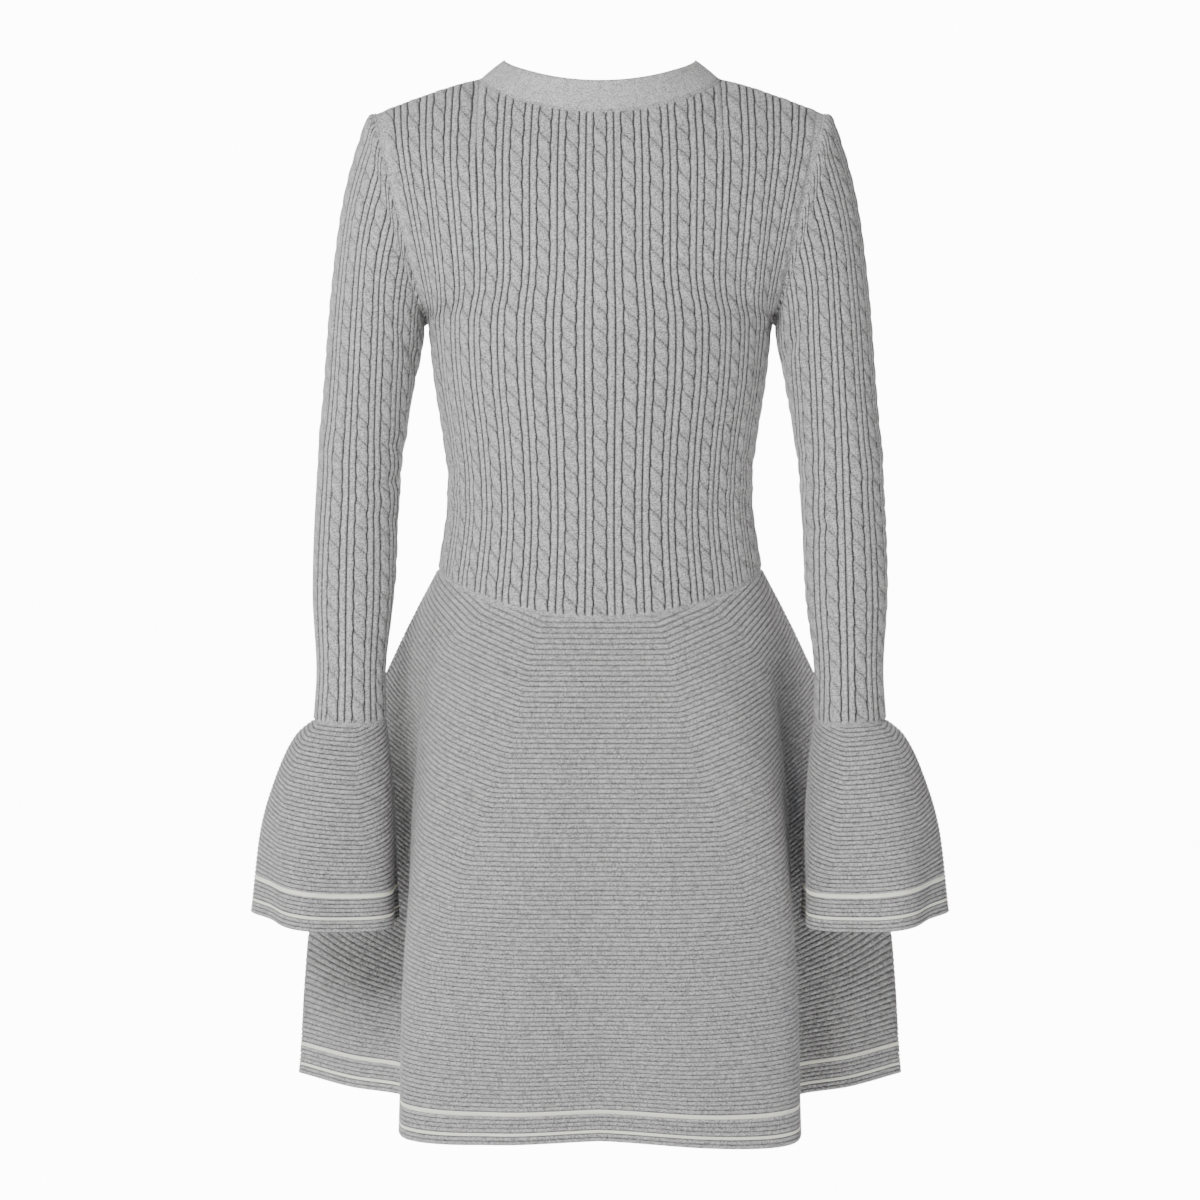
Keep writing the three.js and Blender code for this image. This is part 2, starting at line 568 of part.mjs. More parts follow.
function neckBand() {
  const place = (at, v, out) => {
    const { side, across, up } = neckPlace(at);
    const point = bandPoint(at, v);
    let lean = bandNormal(at, v);
    if (v === 0) {
      lean = neckLean(side, across, up);
      point.addScaledVector(bandPoint(at, 0.1).sub(bandPoint(at, 0)).normalize(), SEAM_GAP / 2);
    }
    return point.addScaledVector(lean, out);
  };
  // The band has a line for each line of the panels that it is linked to.
  const turnsOf = (places) => {
    const inNeck = places.map((at) => at * 2 - 1).filter((across) => Math.abs(across) <= NECK_SHARE + TINY);
    const back = inNeck.map((across) => neckTurn(across));
    return [...back, ...back.slice(1, -1).map((turn) => 0.5 - turn).reverse()];
  };
  const sheet = (places, out) => turnsOf(places).map((at) => ({
    at, points: evenly(2).map((v) => ({ at: v, point: place(at, v, out) })),
  }));
  const panelLines = repeatLines(PANEL_REPEATS).map((line) => line.at);
  return wallGeometry(sheet(panelLines, WALL / 2), sheet(evenly(PANEL_REPEATS), -WALL / 2), true);
}

const knit = (color) => new THREE.MeshStandardMaterial({ color, roughness: 0.95, metalness: 0 });
const GREY = 0xa6a5a6;

const dress = new THREE.Group();
function add(name, geometry, material) {
  const mesh = new THREE.Mesh(geometry, material);
  mesh.name = name;
  dress.add(mesh);
}
add('bodice_back', bodicePanel('back'), knit(GREY));
add('bodice_front', bodicePanel('front'), knit(GREY));
add('sleeve_right', sleeveTube(false), knit(GREY));
add('sleeve_left', sleeveTube(true), knit(GREY));
add('cuff_right', bellCuff(false), knit(GREY));
add('cuff_left', bellCuff(true), knit(GREY));
add('skirt_back', skirtPanel('back'), knit(GREY));
add('skirt_front', skirtPanel('front'), knit(GREY));
add('neck_band', neckBand(), knit(GREY));

export default dress;
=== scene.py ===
import bpy
import numpy as np
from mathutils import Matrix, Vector


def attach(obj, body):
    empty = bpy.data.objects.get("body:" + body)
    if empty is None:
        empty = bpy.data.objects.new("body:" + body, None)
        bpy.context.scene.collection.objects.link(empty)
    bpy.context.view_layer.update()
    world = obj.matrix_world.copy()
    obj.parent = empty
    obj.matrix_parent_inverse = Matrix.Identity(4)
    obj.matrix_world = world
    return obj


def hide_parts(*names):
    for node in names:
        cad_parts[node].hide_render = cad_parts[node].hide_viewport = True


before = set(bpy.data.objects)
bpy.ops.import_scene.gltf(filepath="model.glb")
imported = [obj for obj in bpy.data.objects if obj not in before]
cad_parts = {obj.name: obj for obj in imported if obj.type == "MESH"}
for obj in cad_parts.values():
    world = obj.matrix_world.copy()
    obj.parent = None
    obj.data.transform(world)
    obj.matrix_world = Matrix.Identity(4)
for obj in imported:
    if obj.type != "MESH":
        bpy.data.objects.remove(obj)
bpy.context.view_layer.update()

# Back of the bodice
# Knitted side to side in one panel, in narrow ribs and two-strand cables that run from the waist
# seam to the shoulders. It is shaped to the back and linked at the sides, shoulders and waist.
WALL = 2.0
SEAM_GAP = 0.3
SHOULDER_HALF = 178.0
SHOULDER_DROP = 28.0
NECK_SHARE = 4.5 / 8.5
NECK_DEPTH = {"back": 62.0, "front": 66.0}
NECK_DIP = {"back": 24.0, "front": 34.0}
SCOOP = {"back": 0.0, "front": 0.17}
UNDERARM = 0.6
SEAM_CURVE = 1.6
SIGN = {"back": -1.0, "front": 1.0}
REPEATS = 17
# up the panel, half width, side height, roundness, back depth and height, front depth and height
BODICE_ROWS = [
    (0.00, 127, -388, 1.0, 92, -419, 96, -411),
    (0.18, 119, -330, 1.0, 82, -350, 88, -344),
    (0.34, 122.5, -286, 1.0, 86, -286, 98, -282),
    (0.48, 130, -236, 1.0, 95, -231, 113, -228),
    (0.60, 135.5, -192, 0.9, 100, -184, 114, -182),
]
ARMHOLE = {"top": (SHOULDER_HALF, -SHOULDER_DROP), "low": (135.5, -192), "half_depth": 52}
# up the panel, roundness, back depth and height, front depth and height
YOKE_ROWS = [
    (0.70, 0.6, 101, -144, 107, -144),
    (0.80, 0.35, 97, -104, 96, -108),
    (0.90, 0.15, 85, -63, 83, -71),
]


def mix(a, b, t):
    return a + (b - a) * t


def smooth(x, low, high):
    t = np.clip((x - low) / (high - low), 0, 1)
    return t * t * (3 - 2 * t)


def curve(knots, values, at):
    """Smooth curve through values at rising knots. values may have a column for each column of at."""
    knots, values, at = (np.asarray(x, float) for x in (knots, values, at))
    last = len(knots) - 1
    before, after = np.maximum(np.arange(last + 1) - 1, 0), np.minimum(np.arange(last + 1) + 1, last)
    run = (knots[after] - knots[before]).reshape((-1,) + (1,) * (values.ndim - 1))
    slopes = (values[after] - values[before]) / run
    k = np.searchsorted(knots[1:last], at, side="left")

    def take(x, i):
        return x[i] if x.ndim == 1 else np.take_along_axis(x, i, axis=0)

    span = knots[k + 1] - knots[k]
    t = (at - knots[k]) / span
    return (
        take(values, k) * (2 * t**3 - 3 * t**2 + 1)
        + take(slopes, k) * span * (t**3 - 2 * t**2 + t)
        + take(values, k + 1) * (3 * t**2 - 2 * t**3)
        + take(slopes, k + 1) * span * (t**3 - t**2)
    )


def section(side, half, side_z, roundness, depth, mid_z, across, edge_y=0.0):
    turn = across * np.pi / 2
    x = mix(across, np.sin(turn), roundness) * half
    y = mix(edge_y, depth, np.cos(turn)) * SIGN[side]
    z = mix(side_z, mid_z, np.maximum(np.cos(turn), 0) ** SEAM_CURVE)
    return np.array([x, y, z])


def armhole_edge(up):
    turn = np.pi * (1 - (up - UNDERARM) / (1 - UNDERARM))
    reach = (1 + np.cos(turn)) / 2
    (top_x, top_z), (low_x, low_z) = ARMHOLE["top"], ARMHOLE["low"]
    return mix(low_x, top_x, reach), ARMHOLE["half_depth"] * np.sin(turn), mix(low_z, top_z, reach)


def top_edge(side, across):
    """The neckline in the middle, and a shoulder seam on each side of it."""
    share = np.abs(across) / NECK_SHARE
    bow = np.maximum(1 - share**2, 0)
    along = np.maximum(np.abs(across) - NECK_SHARE, 0) / (1 - NECK_SHARE)
    y = SIGN[side] * NECK_DEPTH[side] * np.sqrt(bow)
    z = np.where(share <= 1, -NECK_DIP[side] * bow ** (SEAM_CURVE / 2), -SHOULDER_DROP * along**1.2)
    return np.array([across * SHOULDER_HALF, y, z])


def bodice(side, across, up):
    """The middle surface of a bodice panel: across from -1 to 1, up from 0 at the waist to 1."""
    pick = slice(4, 6) if side == "back" else slice(6, 8)
    rows = [section(side, r[1], r[2], r[3], *r[pick], across) for r in BODICE_ROWS]
    for r in YOKE_ROWS:
        edge = armhole_edge(r[0])
        depth, mid_z = r[2:4] if side == "back" else r[4:6]
        rows.append(section(side, edge[0], edge[2], r[1], depth, mid_z, across, edge[1]))
    top = top_edge(side, across)
    over = smooth(np.abs(across), NECK_SHARE - 0.06, NECK_SHARE + 0.1)
    before = rows[-1]
    beyond = mix(2 * top - before, before * np.array([[1], [-1], [1]]), over)
    knots = [r[0] for r in BODICE_ROWS + YOKE_ROWS] + [1.0, 1.1]
    points = np.array(rows + [top, beyond])
    return np.stack([curve(knots, points[:, c], up) for c in range(3)], axis=-1)


def top_of(side, across):
    share = np.minimum(np.abs(across) / NECK_SHARE, 1)
    return 1 - SCOOP[side] * np.sqrt(1 - share**2)


def unit(v):
    return v / np.maximum(np.linalg.norm(v, axis=-1, keepdims=True), 1e-9)


def facing(surface, u, v, handed, step=0.002):
    """Outward directions of a surface, from small steps along it."""
    du = surface(u + step, v) - surface(u - step, v)
    dv = surface(u, v + step) - surface(u, v - step)
    return unit(np.cross(du, dv)) * handed


def mitre(a, b):
    return (a + b) / np.maximum(1 + (a * b).sum(-1, keepdims=True), 0.45)


def rows_of(count, columns):
    return np.repeat(np.linspace(0, 1, count)[:, None], columns, axis=1)


def lengths(points):
    """How far along each column every row lies."""
    steps = np.linalg.norm(np.diff(points, axis=0), axis=-1)
    return np.concatenate([np.zeros((1, points.shape[1])), np.cumsum(steps, axis=0)])


CABLE_SHARE = 0.47
CABLE_PITCH = 17.0
RIB_HEIGHT = 1.4
CABLE_HEIGHT = 2.1
PINCH = 0.034
# By how much of a pitch a strand climbs on its way from the middle of the cable to its edge
TWIST = 0.3
RIB_SHARE = (1 - CABLE_SHARE) / 2
# Places across one repeat: close together at the three grooves, even over the cable between them
BESIDE_GROOVE = (-0.055, -0.025, 0, 0.025, 0.055)


def repeat_stops(over_cable):
    """Places across one repeat, with a number of them over the cable between its grooves."""
    cable = np.linspace(RIB_SHARE + 0.055, 1 - RIB_SHARE - 0.055, over_cable + 2)[1:-1]
    at_grooves = [edge + d for edge in (RIB_SHARE, 1 - RIB_SHARE) for d in BESIDE_GROOVE]
    stops = [0, 0.025, 0.055, RIB_SHARE / 2, *at_grooves, *cable, 1 - RIB_SHARE / 2, 0.945, 0.975]
    return np.sort(stops)


def strand_place(repeat, along, x):
    """Where along its strand a point lies: a strand is 1 long and the next begins on top of it.
    x is the place across the cable, -1 to 1. No two cables cross at the same height."""
    number = np.floor(repeat)
    return along / CABLE_PITCH + 0.3 * np.sin(number * 2.1) + TWIST * x * (0.75 + 0.5 * x * x)


def pinched(repeat, along):
    """Columns beside a cable, drawn in where two strands meet at its edge and let out between."""
    s = repeat % 1.0 - 0.5
    place = strand_place(repeat, along, np.sign(s))
    near = np.abs((place + 0.5) % 1.0 - 0.5)
    draw = np.exp(-((near / 0.2) ** 2)) - 0.35
    reach = np.exp(-(((np.abs(s) - CABLE_SHARE / 2) / 0.07) ** 2))
    return repeat - np.sign(s) * PINCH * draw * reach


def rib_and_cable(repeat, along, plain):
    """Height of the knit above its grooves, and its painted shade: how light it is, darkest in the grooves. repeat
    counts the repeats across, along is millimetres along the ribs, and plain is 0 where the pattern stops at a
    seam."""
    s = repeat % 1.0
    in_rib = np.where(s < 0.5, s / RIB_SHARE, (s - 1 + RIB_SHARE) / RIB_SHARE)
    narrow = 1 - np.abs(2 * np.clip(in_rib, 0, 1) - 1) ** 5
    x = np.clip((s - 0.5) / (CABLE_SHARE / 2), -1, 1)
    place = strand_place(repeat, along, x) % 1.0
    crown = np.sqrt(np.maximum(1 - np.abs(2 * place - 1) ** 2.6, 0))
    strand = (0.3 + 0.7 * crown) * (0.78 + 0.34 * place)
    rope = strand * np.sqrt(np.maximum(1 - np.abs(x) ** 4, 0))
    height = np.where(np.abs(x) < 1, rope * CABLE_HEIGHT, narrow * RIB_HEIGHT)
    edge = np.min([s, 1 - s, np.abs(s - RIB_SHARE), np.abs(s - 1 + RIB_SHARE)], axis=0)
    # The second value is painted shade: 1 on the ribs and cables, falling to 0 at the grooves.
    return height * plain, mix(1.0, smooth(edge, 0.004, 0.058), plain)


def wall(name, outer, inner, inner_rows, closed, uv, marks):
    """A closed wall: a fine outside, a plain inside with fewer rows, and rims between them.
    uv gives each column's place across and each point's place along, in metres. marks are kept on
    the mesh for its material: "light" is painted shade, 0 in a groove, "raised" is 0 where a pattern stops."""
    rows, columns = outer.shape[:2]
    points = np.concatenate([outer.reshape(-1, 3), inner.reshape(-1, 3)]) / 1000
    here = np.arange(columns if closed else columns - 1)
    after = (here + 1) % columns
    base = rows * columns

    def quads(first, row_list, flip):
        i = np.arange(len(row_list) - 1)[:, None]
        ids = np.stack([first + i * columns + here, first + i * columns + after,
                        first + (i + 1) * columns + after, first + (i + 1) * columns + here], -1)
        low, high = row_list[:-1, None] + 0 * here, row_list[1:, None] + 0 * here
        col = np.stack([here + 0 * low, here + 1 + 0 * low, here + 1 + 0 * low, here + 0 * low], -1)
        row = np.stack([low, low, high, high], -1)
        if flip:
            ids, col, row = ids[..., ::-1], col[..., ::-1], row[..., ::-1]
        return ids.reshape(-1, 4), col.reshape(-1, 4), row.reshape(-1, 4)

    every = np.arange(rows)
    parts = [quads(0, every, False), quads(base, inner_rows, True)]
    for out_row, in_row, flip in ((0, 0, True), (rows - 1, len(inner_rows) - 1, False)):
        a, b = out_row * columns, base + in_row * columns
        ids = np.stack([a + here, a + after, b + after, b + here], -1)
        col = np.stack([here, here + 1, here + 1, here], -1)
        row = np.full_like(col, out_row)
        if flip:
            ids, col, row = ids[:, ::-1], col[:, ::-1], row[:, ::-1]
        parts.append((ids, col, row))
    ids, col, row = (np.concatenate([p[k] for p in parts]) for k in range(3))
    triangles = []
    if not closed:
        for column, flip in ((0, False), (columns - 1, True)):
            for k in range(len(inner_rows) - 1):
                low, high = inner_rows[k], inner_rows[k + 1]
                corner = base + k * columns + column
                fan = [(corner, (j + 1) * columns + column, j * columns + column) for j in range(low, high)]
                fan.append((corner, corner + columns, high * columns + column))
                triangles += [t[::-1] for t in fan] if flip else fan
    triangles = np.array(triangles, int).reshape(-1, 3)
    a, b, c, d = (points[ids[:, k]] for k in range(4))
    volume = (a * np.cross(b, c)).sum() + (a * np.cross(c, d)).sum()
    if len(triangles):
        p, q, r = (points[triangles[:, k]] for k in range(3))
        volume += (p * np.cross(q, r)).sum()
    if volume < 0:
        ids, col, row, triangles = ids[:, ::-1], col[:, ::-1], row[:, ::-1], triangles[:, ::-1]
    mesh = bpy.data.meshes.new(name)
    mesh.vertices.add(len(points))
    mesh.vertices.foreach_set("co", points.ravel())
    corners = np.concatenate([ids.ravel(), triangles.ravel()])
    mesh.loops.add(len(corners))
    mesh.loops.foreach_set("vertex_index", corners.astype(np.int32))
    starts = np.concatenate([np.arange(len(ids)) * 4, len(ids) * 4 + np.arange(len(triangles)) * 3])
    mesh.polygons.add(len(starts))
    mesh.polygons.foreach_set("loop_start", starts.astype(np.int32))
    across, along = uv
    side_column = (triangles % columns).ravel()
    side_row = np.where(triangles < base, triangles // columns, 0).ravel()
    from_inner = triangles.ravel() >= base
    side_row[from_inner] = inner_rows[(triangles.ravel()[from_inner] - base) // columns]
    all_col = np.concatenate([col.ravel(), side_column])
    all_row = np.concatenate([row.ravel(), side_row])
    flat = np.stack([across[all_col], along[all_row, all_col % columns]], -1)
    layer = mesh.uv_layers.new(name="UVMap")
    layer.data.foreach_set("uv", flat.ravel().astype(np.float32))
    for mark, (outside, inside) in marks.items():
        values = np.concatenate([outside.ravel(), np.full(len(inner_rows) * columns, inside)])
        mesh.attributes.new(mark, "FLOAT", "POINT").data.foreach_set("value", values.astype(np.float32))
    mesh.update()
    mesh.validate()
    mesh.polygons.foreach_set("use_smooth", np.ones(len(mesh.polygons), bool))
    piece = bpy.data.objects.new(name, mesh)
    bpy.context.scene.collection.objects.link(piece)
    return piece


REPEAT_IN_UV = 0.02
FLECK_SCALE, CLOUD_SCALE = 900, 200


def knit_cloth(name, colour, pale, trough, stripes=(), sideways=False, cables=False):
    """Heathered yarn: two greys spun together, with painted shade that darkens the grooves, and small V stitches.
    trough is how light the painted shade leaves a groove's bottom. stripes is a list of (height above the hem,
    width) in millimetres, knitted in cream. sideways turns the stitches to run round the garment.
    cables adds painted shade on the lines where one strand of a cable passes under the next, and towards each
    strand's ends."""
    material = bpy.data.materials.new(name)
    material.use_nodes = True
    tree = material.node_tree
    nodes, links = tree.nodes, tree.links
    shader = nodes["Principled BSDF"]
    shader.inputs["Roughness"].default_value = 0.94
    shader.inputs["Specular IOR Level"].default_value = 0.12
    shader.inputs["Sheen Weight"].default_value = 0.12
    shader.inputs["Sheen Roughness"].default_value = 0.6

    def math(kind, a, b=None, c=None, clamp=False):
        node = nodes.new("ShaderNodeMath")
        node.operation = kind
        node.use_clamp = clamp
        for slot, value in enumerate((a, b, c)):
            if value is None:
                continue
            if isinstance(value, (int, float)):
                node.inputs[slot].default_value = value
            else:
                links.new(value, node.inputs[slot])
        return node.outputs[0]

    def blend(factor, a, b):
        node = nodes.new("ShaderNodeMix")
        node.data_type = "RGBA"
        for slot, value in ((0, factor), (6, a), (7, b)):
            if isinstance(value, tuple):
                node.inputs[slot].default_value = (*value, 1)
            else:
                links.new(value, node.inputs[slot])
        return node.outputs[2]

    place = nodes.new("ShaderNodeTexCoord")
    split = nodes.new("ShaderNodeSeparateXYZ")
    links.new(place.outputs["UV"], split.inputs[0])
    across, along = split.outputs[0], split.outputs[1]

    def noise(scale, stretch, detail):
        mapping = nodes.new("ShaderNodeMapping")
        mapping.inputs["Scale"].default_value = stretch
        links.new(place.outputs["Object"], mapping.inputs[0])
        node = nodes.new("ShaderNodeTexNoise")
        node.inputs["Scale"].default_value = scale
        node.inputs["Detail"].default_value = detail
        node.inputs["Roughness"].default_value = 0.6
        links.new(mapping.outputs[0], node.inputs["Vector"])
        return node.outputs[0]

    fleck = noise(FLECK_SCALE, (1, 1, 1.4), 1)
    cloud = noise(CLOUD_SCALE, (1, 1, 1.8), 2)
    heather = math("ADD", math("MULTIPLY", fleck, 0.8), math("MULTIPLY", cloud, 0.2))
    contrast = math("MULTIPLY_ADD", heather, 8.0, -3.5, clamp=True)
    yarn = blend(contrast, colour, pale)
    # Painted shade: the light mark on the mesh darkens the yarn colour in grooves and troughs, down to trough.
    light = nodes.new("ShaderNodeAttribute")
    light.attribute_name = "light"
    groove = math("MULTIPLY_ADD", light.outputs["Fac"], 1 - trough, trough, clamp=True)
    under = None
    if cables:
        repeat = math("MULTIPLY", across, 1 / REPEAT_IN_UV)
        beside = math("SUBTRACT", math("FRACT", repeat), 0.5)
        x = math("MULTIPLY", beside, 2 / CABLE_SHARE)
        offset = math("MULTIPLY", math("SINE", math("MULTIPLY", math("FLOOR", repeat), 2.1)), 0.3)
        bend = math("MULTIPLY_ADD", math("MULTIPLY", x, x), 0.5, 0.75)
        climb = math("MULTIPLY", math("MULTIPLY", x, TWIST), bend)
        turn = math("ADD", math("MULTIPLY_ADD", along, 1000 / CABLE_PITCH, offset), climb)
        place = math("FRACT", turn)
        near = math("ABSOLUTE", math("SUBTRACT", math("FRACT", math("ADD", place, 0.5)), 0.5))
        line = math("SUBTRACT", 1, math("MULTIPLY", near, 1 / 0.085), clamp=True)
        raised = nodes.new("ShaderNodeAttribute")
        raised.attribute_name = "raised"
        in_cable = math("MULTIPLY", math("LESS_THAN", math("ABSOLUTE", x), 0.98), raised.outputs["Fac"])
        under = math("MULTIPLY", line, in_cable)
        # Painted shade on the cables: the lines where a strand passes under the next are darkened, and each strand
        # darkens towards its ends.
        fall = math("MULTIPLY", math("ABSOLUTE", math("SUBTRACT", place, 0.55)), in_cable)
        shade = math("MULTIPLY", math("SUBTRACT", 1, math("MULTIPLY", under, 0.46)),
                     math("SUBTRACT", 1.06, math("MULTIPLY", fall, 0.34)))
        groove = math("MULTIPLY", groove, shade)
    dark = nodes.new("ShaderNodeMix")
    dark.data_type = "RGBA"
    dark.blend_type = "MULTIPLY"
    dark.inputs[0].default_value = 1
    grey = nodes.new("ShaderNodeCombineColor")
    for slot in range(3):
        links.new(groove, grey.inputs[slot])
    links.new(yarn, dark.inputs[6])
    links.new(grey.outputs[0], dark.inputs[7])
    cloth = dark.outputs[2]
    if stripes:
        inside = None
        for centre, width in stripes:
            away = math("ABSOLUTE", math("SUBTRACT", along, centre / 1000))
            mark = math("LESS_THAN", away, width / 2000)
            inside = mark if inside is None else math("MAXIMUM", inside, mark)
        cloth = blend(inside, cloth, (0.98, 0.98, 0.85))
    links.new(cloth, shader.inputs["Base Color"])
    wale_place, course_place = (along, across) if sideways else (across, along)
    wale = math("FRACT", math("MULTIPLY", wale_place, 1000 / 1.5))
    leg = math("ABSOLUTE", math("SUBTRACT", wale, 0.5))
    course = math("ADD", math("MULTIPLY", course_place, 1000 / 1.3), math("MULTIPLY", leg, 1.4))
    stitch = math("SINE", math("MULTIPLY", course, 6.2832))
    relief = math("ADD", math("MULTIPLY", stitch, 0.35), math("MULTIPLY", leg, 1.0))
    fuzzy = math("ADD", relief, math("MULTIPLY", fleck, 2.0))
    if cables:
        fuzzy = math("SUBTRACT", fuzzy, math("MULTIPLY", under, 1.2))
    bump = nodes.new("ShaderNodeBump")
    bump.inputs["Strength"].default_value = 0.5
    bump.inputs["Distance"].default_value = 0.0006
    links.new(fuzzy, bump.inputs["Height"])
    links.new(bump.outputs[0], shader.inputs["Normal"])
    return material


GREY = (0.245, 0.241, 0.243)
PALE_GREY = (0.62, 0.614, 0.616)
rib_knit = knit_cloth("rib_knit", GREY, PALE_GREY, 0.06, cables=True)


def finish_piece(piece, material, node):
    piece.data.materials.append(material)
    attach(piece, "root")
    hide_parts(node)


def crease(across, along, places):
    """Soft folds. Each is (across, along, length, width, slant, height) in the grid's own measure."""
    total = np.zeros(np.broadcast(across, along).shape)
    for at_across, at_along, length, width, slant, height in places:
        u = across - at_across
        v = along - at_along - slant * u
        total += height * np.exp(-((u / length) ** 2)) * np.exp(-((v / width) ** 2))
    return total


def slid(surface, places, v, shift, step=0.002):
    """Points of a surface, moved along it by a small shift of their places."""
    ahead, behind = surface(places + step, v), surface(places - step, v)
    return surface(places, v) + (ahead - behind) / (2 * step) * shift[..., None]


def bodice_panel(side, creases):
    repeats = np.append((repeat_stops(6) + np.arange(REPEATS)[:, None]).ravel(), REPEATS)
    columns, rows = len(repeats), 200
    across = repeats / REPEATS * 2 - 1
    v = rows_of(rows, columns)
    up = v * top_of(side, across)
    level = bodice(side, across, up)
    length, along = lengths(level), level[..., 2] - BODICE_ROWS[0][5]
    shift = (pinched(repeats, along) - repeats) / REPEATS * 2
    middle = slid(lambda a, b: bodice(side, np.clip(a, -1, 1), b), across, up, shift)
    inner_u = np.clip(across, -0.997, 0.997)
    out = facing(lambda a, b: bodice(side, a, b), inner_u, np.minimum(up, 0.997), -SIGN[side])
    beside_armhole = (1 - np.abs(across)) * SHOULDER_HALF
    by_sleeve = smooth(beside_armhole, 6.5, 8.5)
    by_side = smooth(beside_armhole, 1.5, 4)
    plain = mix(by_side, by_sleeve, smooth(up, UNDERARM - 0.04, UNDERARM))
    plain = plain * smooth(length, 0.3, 2.2) * smooth(length[-1] - length, 0.3, 2.2)
    height, light = rib_and_cable(repeats, along, plain)
    height = height * mix(0.35, 1, smooth(length[-1] - length, 2, 10)) + crease(across, up, creases)
    waist = mitre(out[0], skirt_normal_at_waist(side, across))
    out[0] = waist
    for column, sign in ((0, -1.0), (-1, 1.0)):
        below = up[:, column] < UNDERARM
        out[below, column] = unit(out[below, column] * np.array([1, 0, 1]))
        out[~below, column] = arm_lean(side, up[~below, column]) * np.array([sign, 1, 1])
    shoulder = np.abs(across) >= NECK_SHARE
    out[-1, shoulder] = unit(out[-1, shoulder] * np.array([1, 0, 1]))
    out[-1, ~shoulder] = neck_lean(side, across[~shoulder])
    middle[0, :, 2] += SEAM_GAP / 2
    middle[-1, ~shoulder] += unit(middle[-2, ~shoulder] - middle[-1, ~shoulder]) * SEAM_GAP / 2
    middle[-1, shoulder, 1] += SIGN[side] * SEAM_GAP / 2
    middle[:, [0, -1], 1] += SIGN[side] * SEAM_GAP / 2
    inner_rows = np.unique(np.linspace(0, rows - 1, 18).astype(int))
    outside = middle + out * (WALL / 2 + height)[..., None]
    inside = (middle + out * (crease(across, up, creases) - WALL / 2)[..., None])[inner_rows]
    return wall(f"bodice_{side}_knit", outside, inside, inner_rows, False,
                (repeats * REPEAT_IN_UV, along / 1000), {"light": (light, 0.7), "raised": (plain, 0)})


# The sleeve, cuff, skirt and neck band share seams with the bodice, so their forms come here.
SLEEVE_ROWS = [  # down, outer edge x and z, inner edge x and z, middle y, half depth
    (0.00, 178, -28, 135.5, -192, 0, 52),
    (0.015, 183, -31.5, 140, -194, 0, 51.5),
    (0.10, 200, -88, 142, -206, -2, 48),
    (0.22, 210.5, -160, 145, -222, -5, 43),
    (0.36, 217, -240, 153, -263, -10, 40),
    (0.56, 223.5, -326, 161, -331, -19, 37),
    (0.75, 226, -404, 165, -404, -32, 33),
    (0.90, 222.5, -464, 171.5, -464, -45, 29),
    (1.00, 224.5, -504, 171, -504, -54, 29),
]
CUFF_ROWS = [
    (0.00, 224.5, -504, 171, -504, -54, 29),
    (0.12, 239.5, -517, 168.5, -523, -57, 34),
    (0.32, 253, -545, 165, -554, -62, 41),
    (0.60, 265, -589, 162, -599, -66, 46),
    (1.00, 270, -656, 160, -663, -69, 49),
]
CUFF_WAVES, WAVE_DEPTH, WAVE_TURN, CUFF_DIP = 5, 4.5, 0.35, 5.0


def arm_ring(rows, turn, down, waves=0.0):
    table = np.array(rows, float)
    out_x, out_z, in_x, in_z, mid_y, deep = (curve(table[:, 0], table[:, k], down) for k in range(1, 7))
    angle = turn * 2 * np.pi
    flute = 1 + waves * down * down * np.cos(CUFF_WAVES * angle + WAVE_TURN) * WAVE_DEPTH / deep
    reach = (1 + np.cos(angle) * flute) / 2
    dip = waves * CUFF_DIP * down * np.sin(angle) ** 2
    return np.stack([mix(in_x, out_x, reach), mid_y - np.sin(angle) * deep * flute,
                     mix(in_z, out_z, reach) - dip], axis=-1)


def sleeve(turn, down):
    around = np.broadcast_to(turn, np.shape(down)) % 1.0
    up = 1 - (1 - UNDERARM) * np.minimum(around, 1 - around) * 2
    edges = [bodice(side, np.array([1.0]), up.reshape(-1, 1)).reshape(*up.shape, 3) for side in ("back", "front")]
    seam = np.where((around <= 0.5)[..., None], *edges)
    start = arm_ring(SLEEVE_ROWS, around, np.zeros_like(around))
    fade = (1 - smooth(down, 0, SLEEVE_ROWS[2][0]))[..., None]
    return arm_ring(SLEEVE_ROWS, around, down) + (seam - start) * fade


def cuff(turn, down):
    return arm_ring(CUFF_ROWS, turn, down, 1.0)


def sleeve_normal(turn, down):
    return facing(lambda a, b: sleeve(a, np.maximum(b, 0)), turn, down, 1.0)


def cuff_normal(turn, down):
    return facing(lambda a, b: cuff(a, np.maximum(b, 0)), turn, down, 1.0)


def arm_lean(side, up):
    """The rim direction that a panel and a sleeve share at the armhole, on the wearer's right."""
    half = (1 - up) / (1 - UNDERARM) / 2
    turn = half if side == "back" else 1 - half
    column = up[:, None]
    panel = facing(lambda a, b: bodice(side, a, b), np.array([0.997]), np.minimum(column, 0.997), -SIGN[side])[:, 0]
    arm = sleeve_normal(turn, np.full((1, len(turn)), 0.004))[0]
    ends = (half < 1e-6) | (half > 0.5 - 1e-6)
    for lean in (panel, arm):
        lean[ends] = unit(lean[ends] * np.array([1, 0, 1]))
    return mitre(panel, arm)


VALLEY_SHARE = 0.72
SKIRT_SHARES = [0, 0.2, 0.42, 0.58, VALLEY_SHARE, 0.87, 1]
WAIST_SHARES = [0, 0.09, 0.21, 0.42, 0.62, 0.82, 1]
SKIRT_LEAN = 4.0
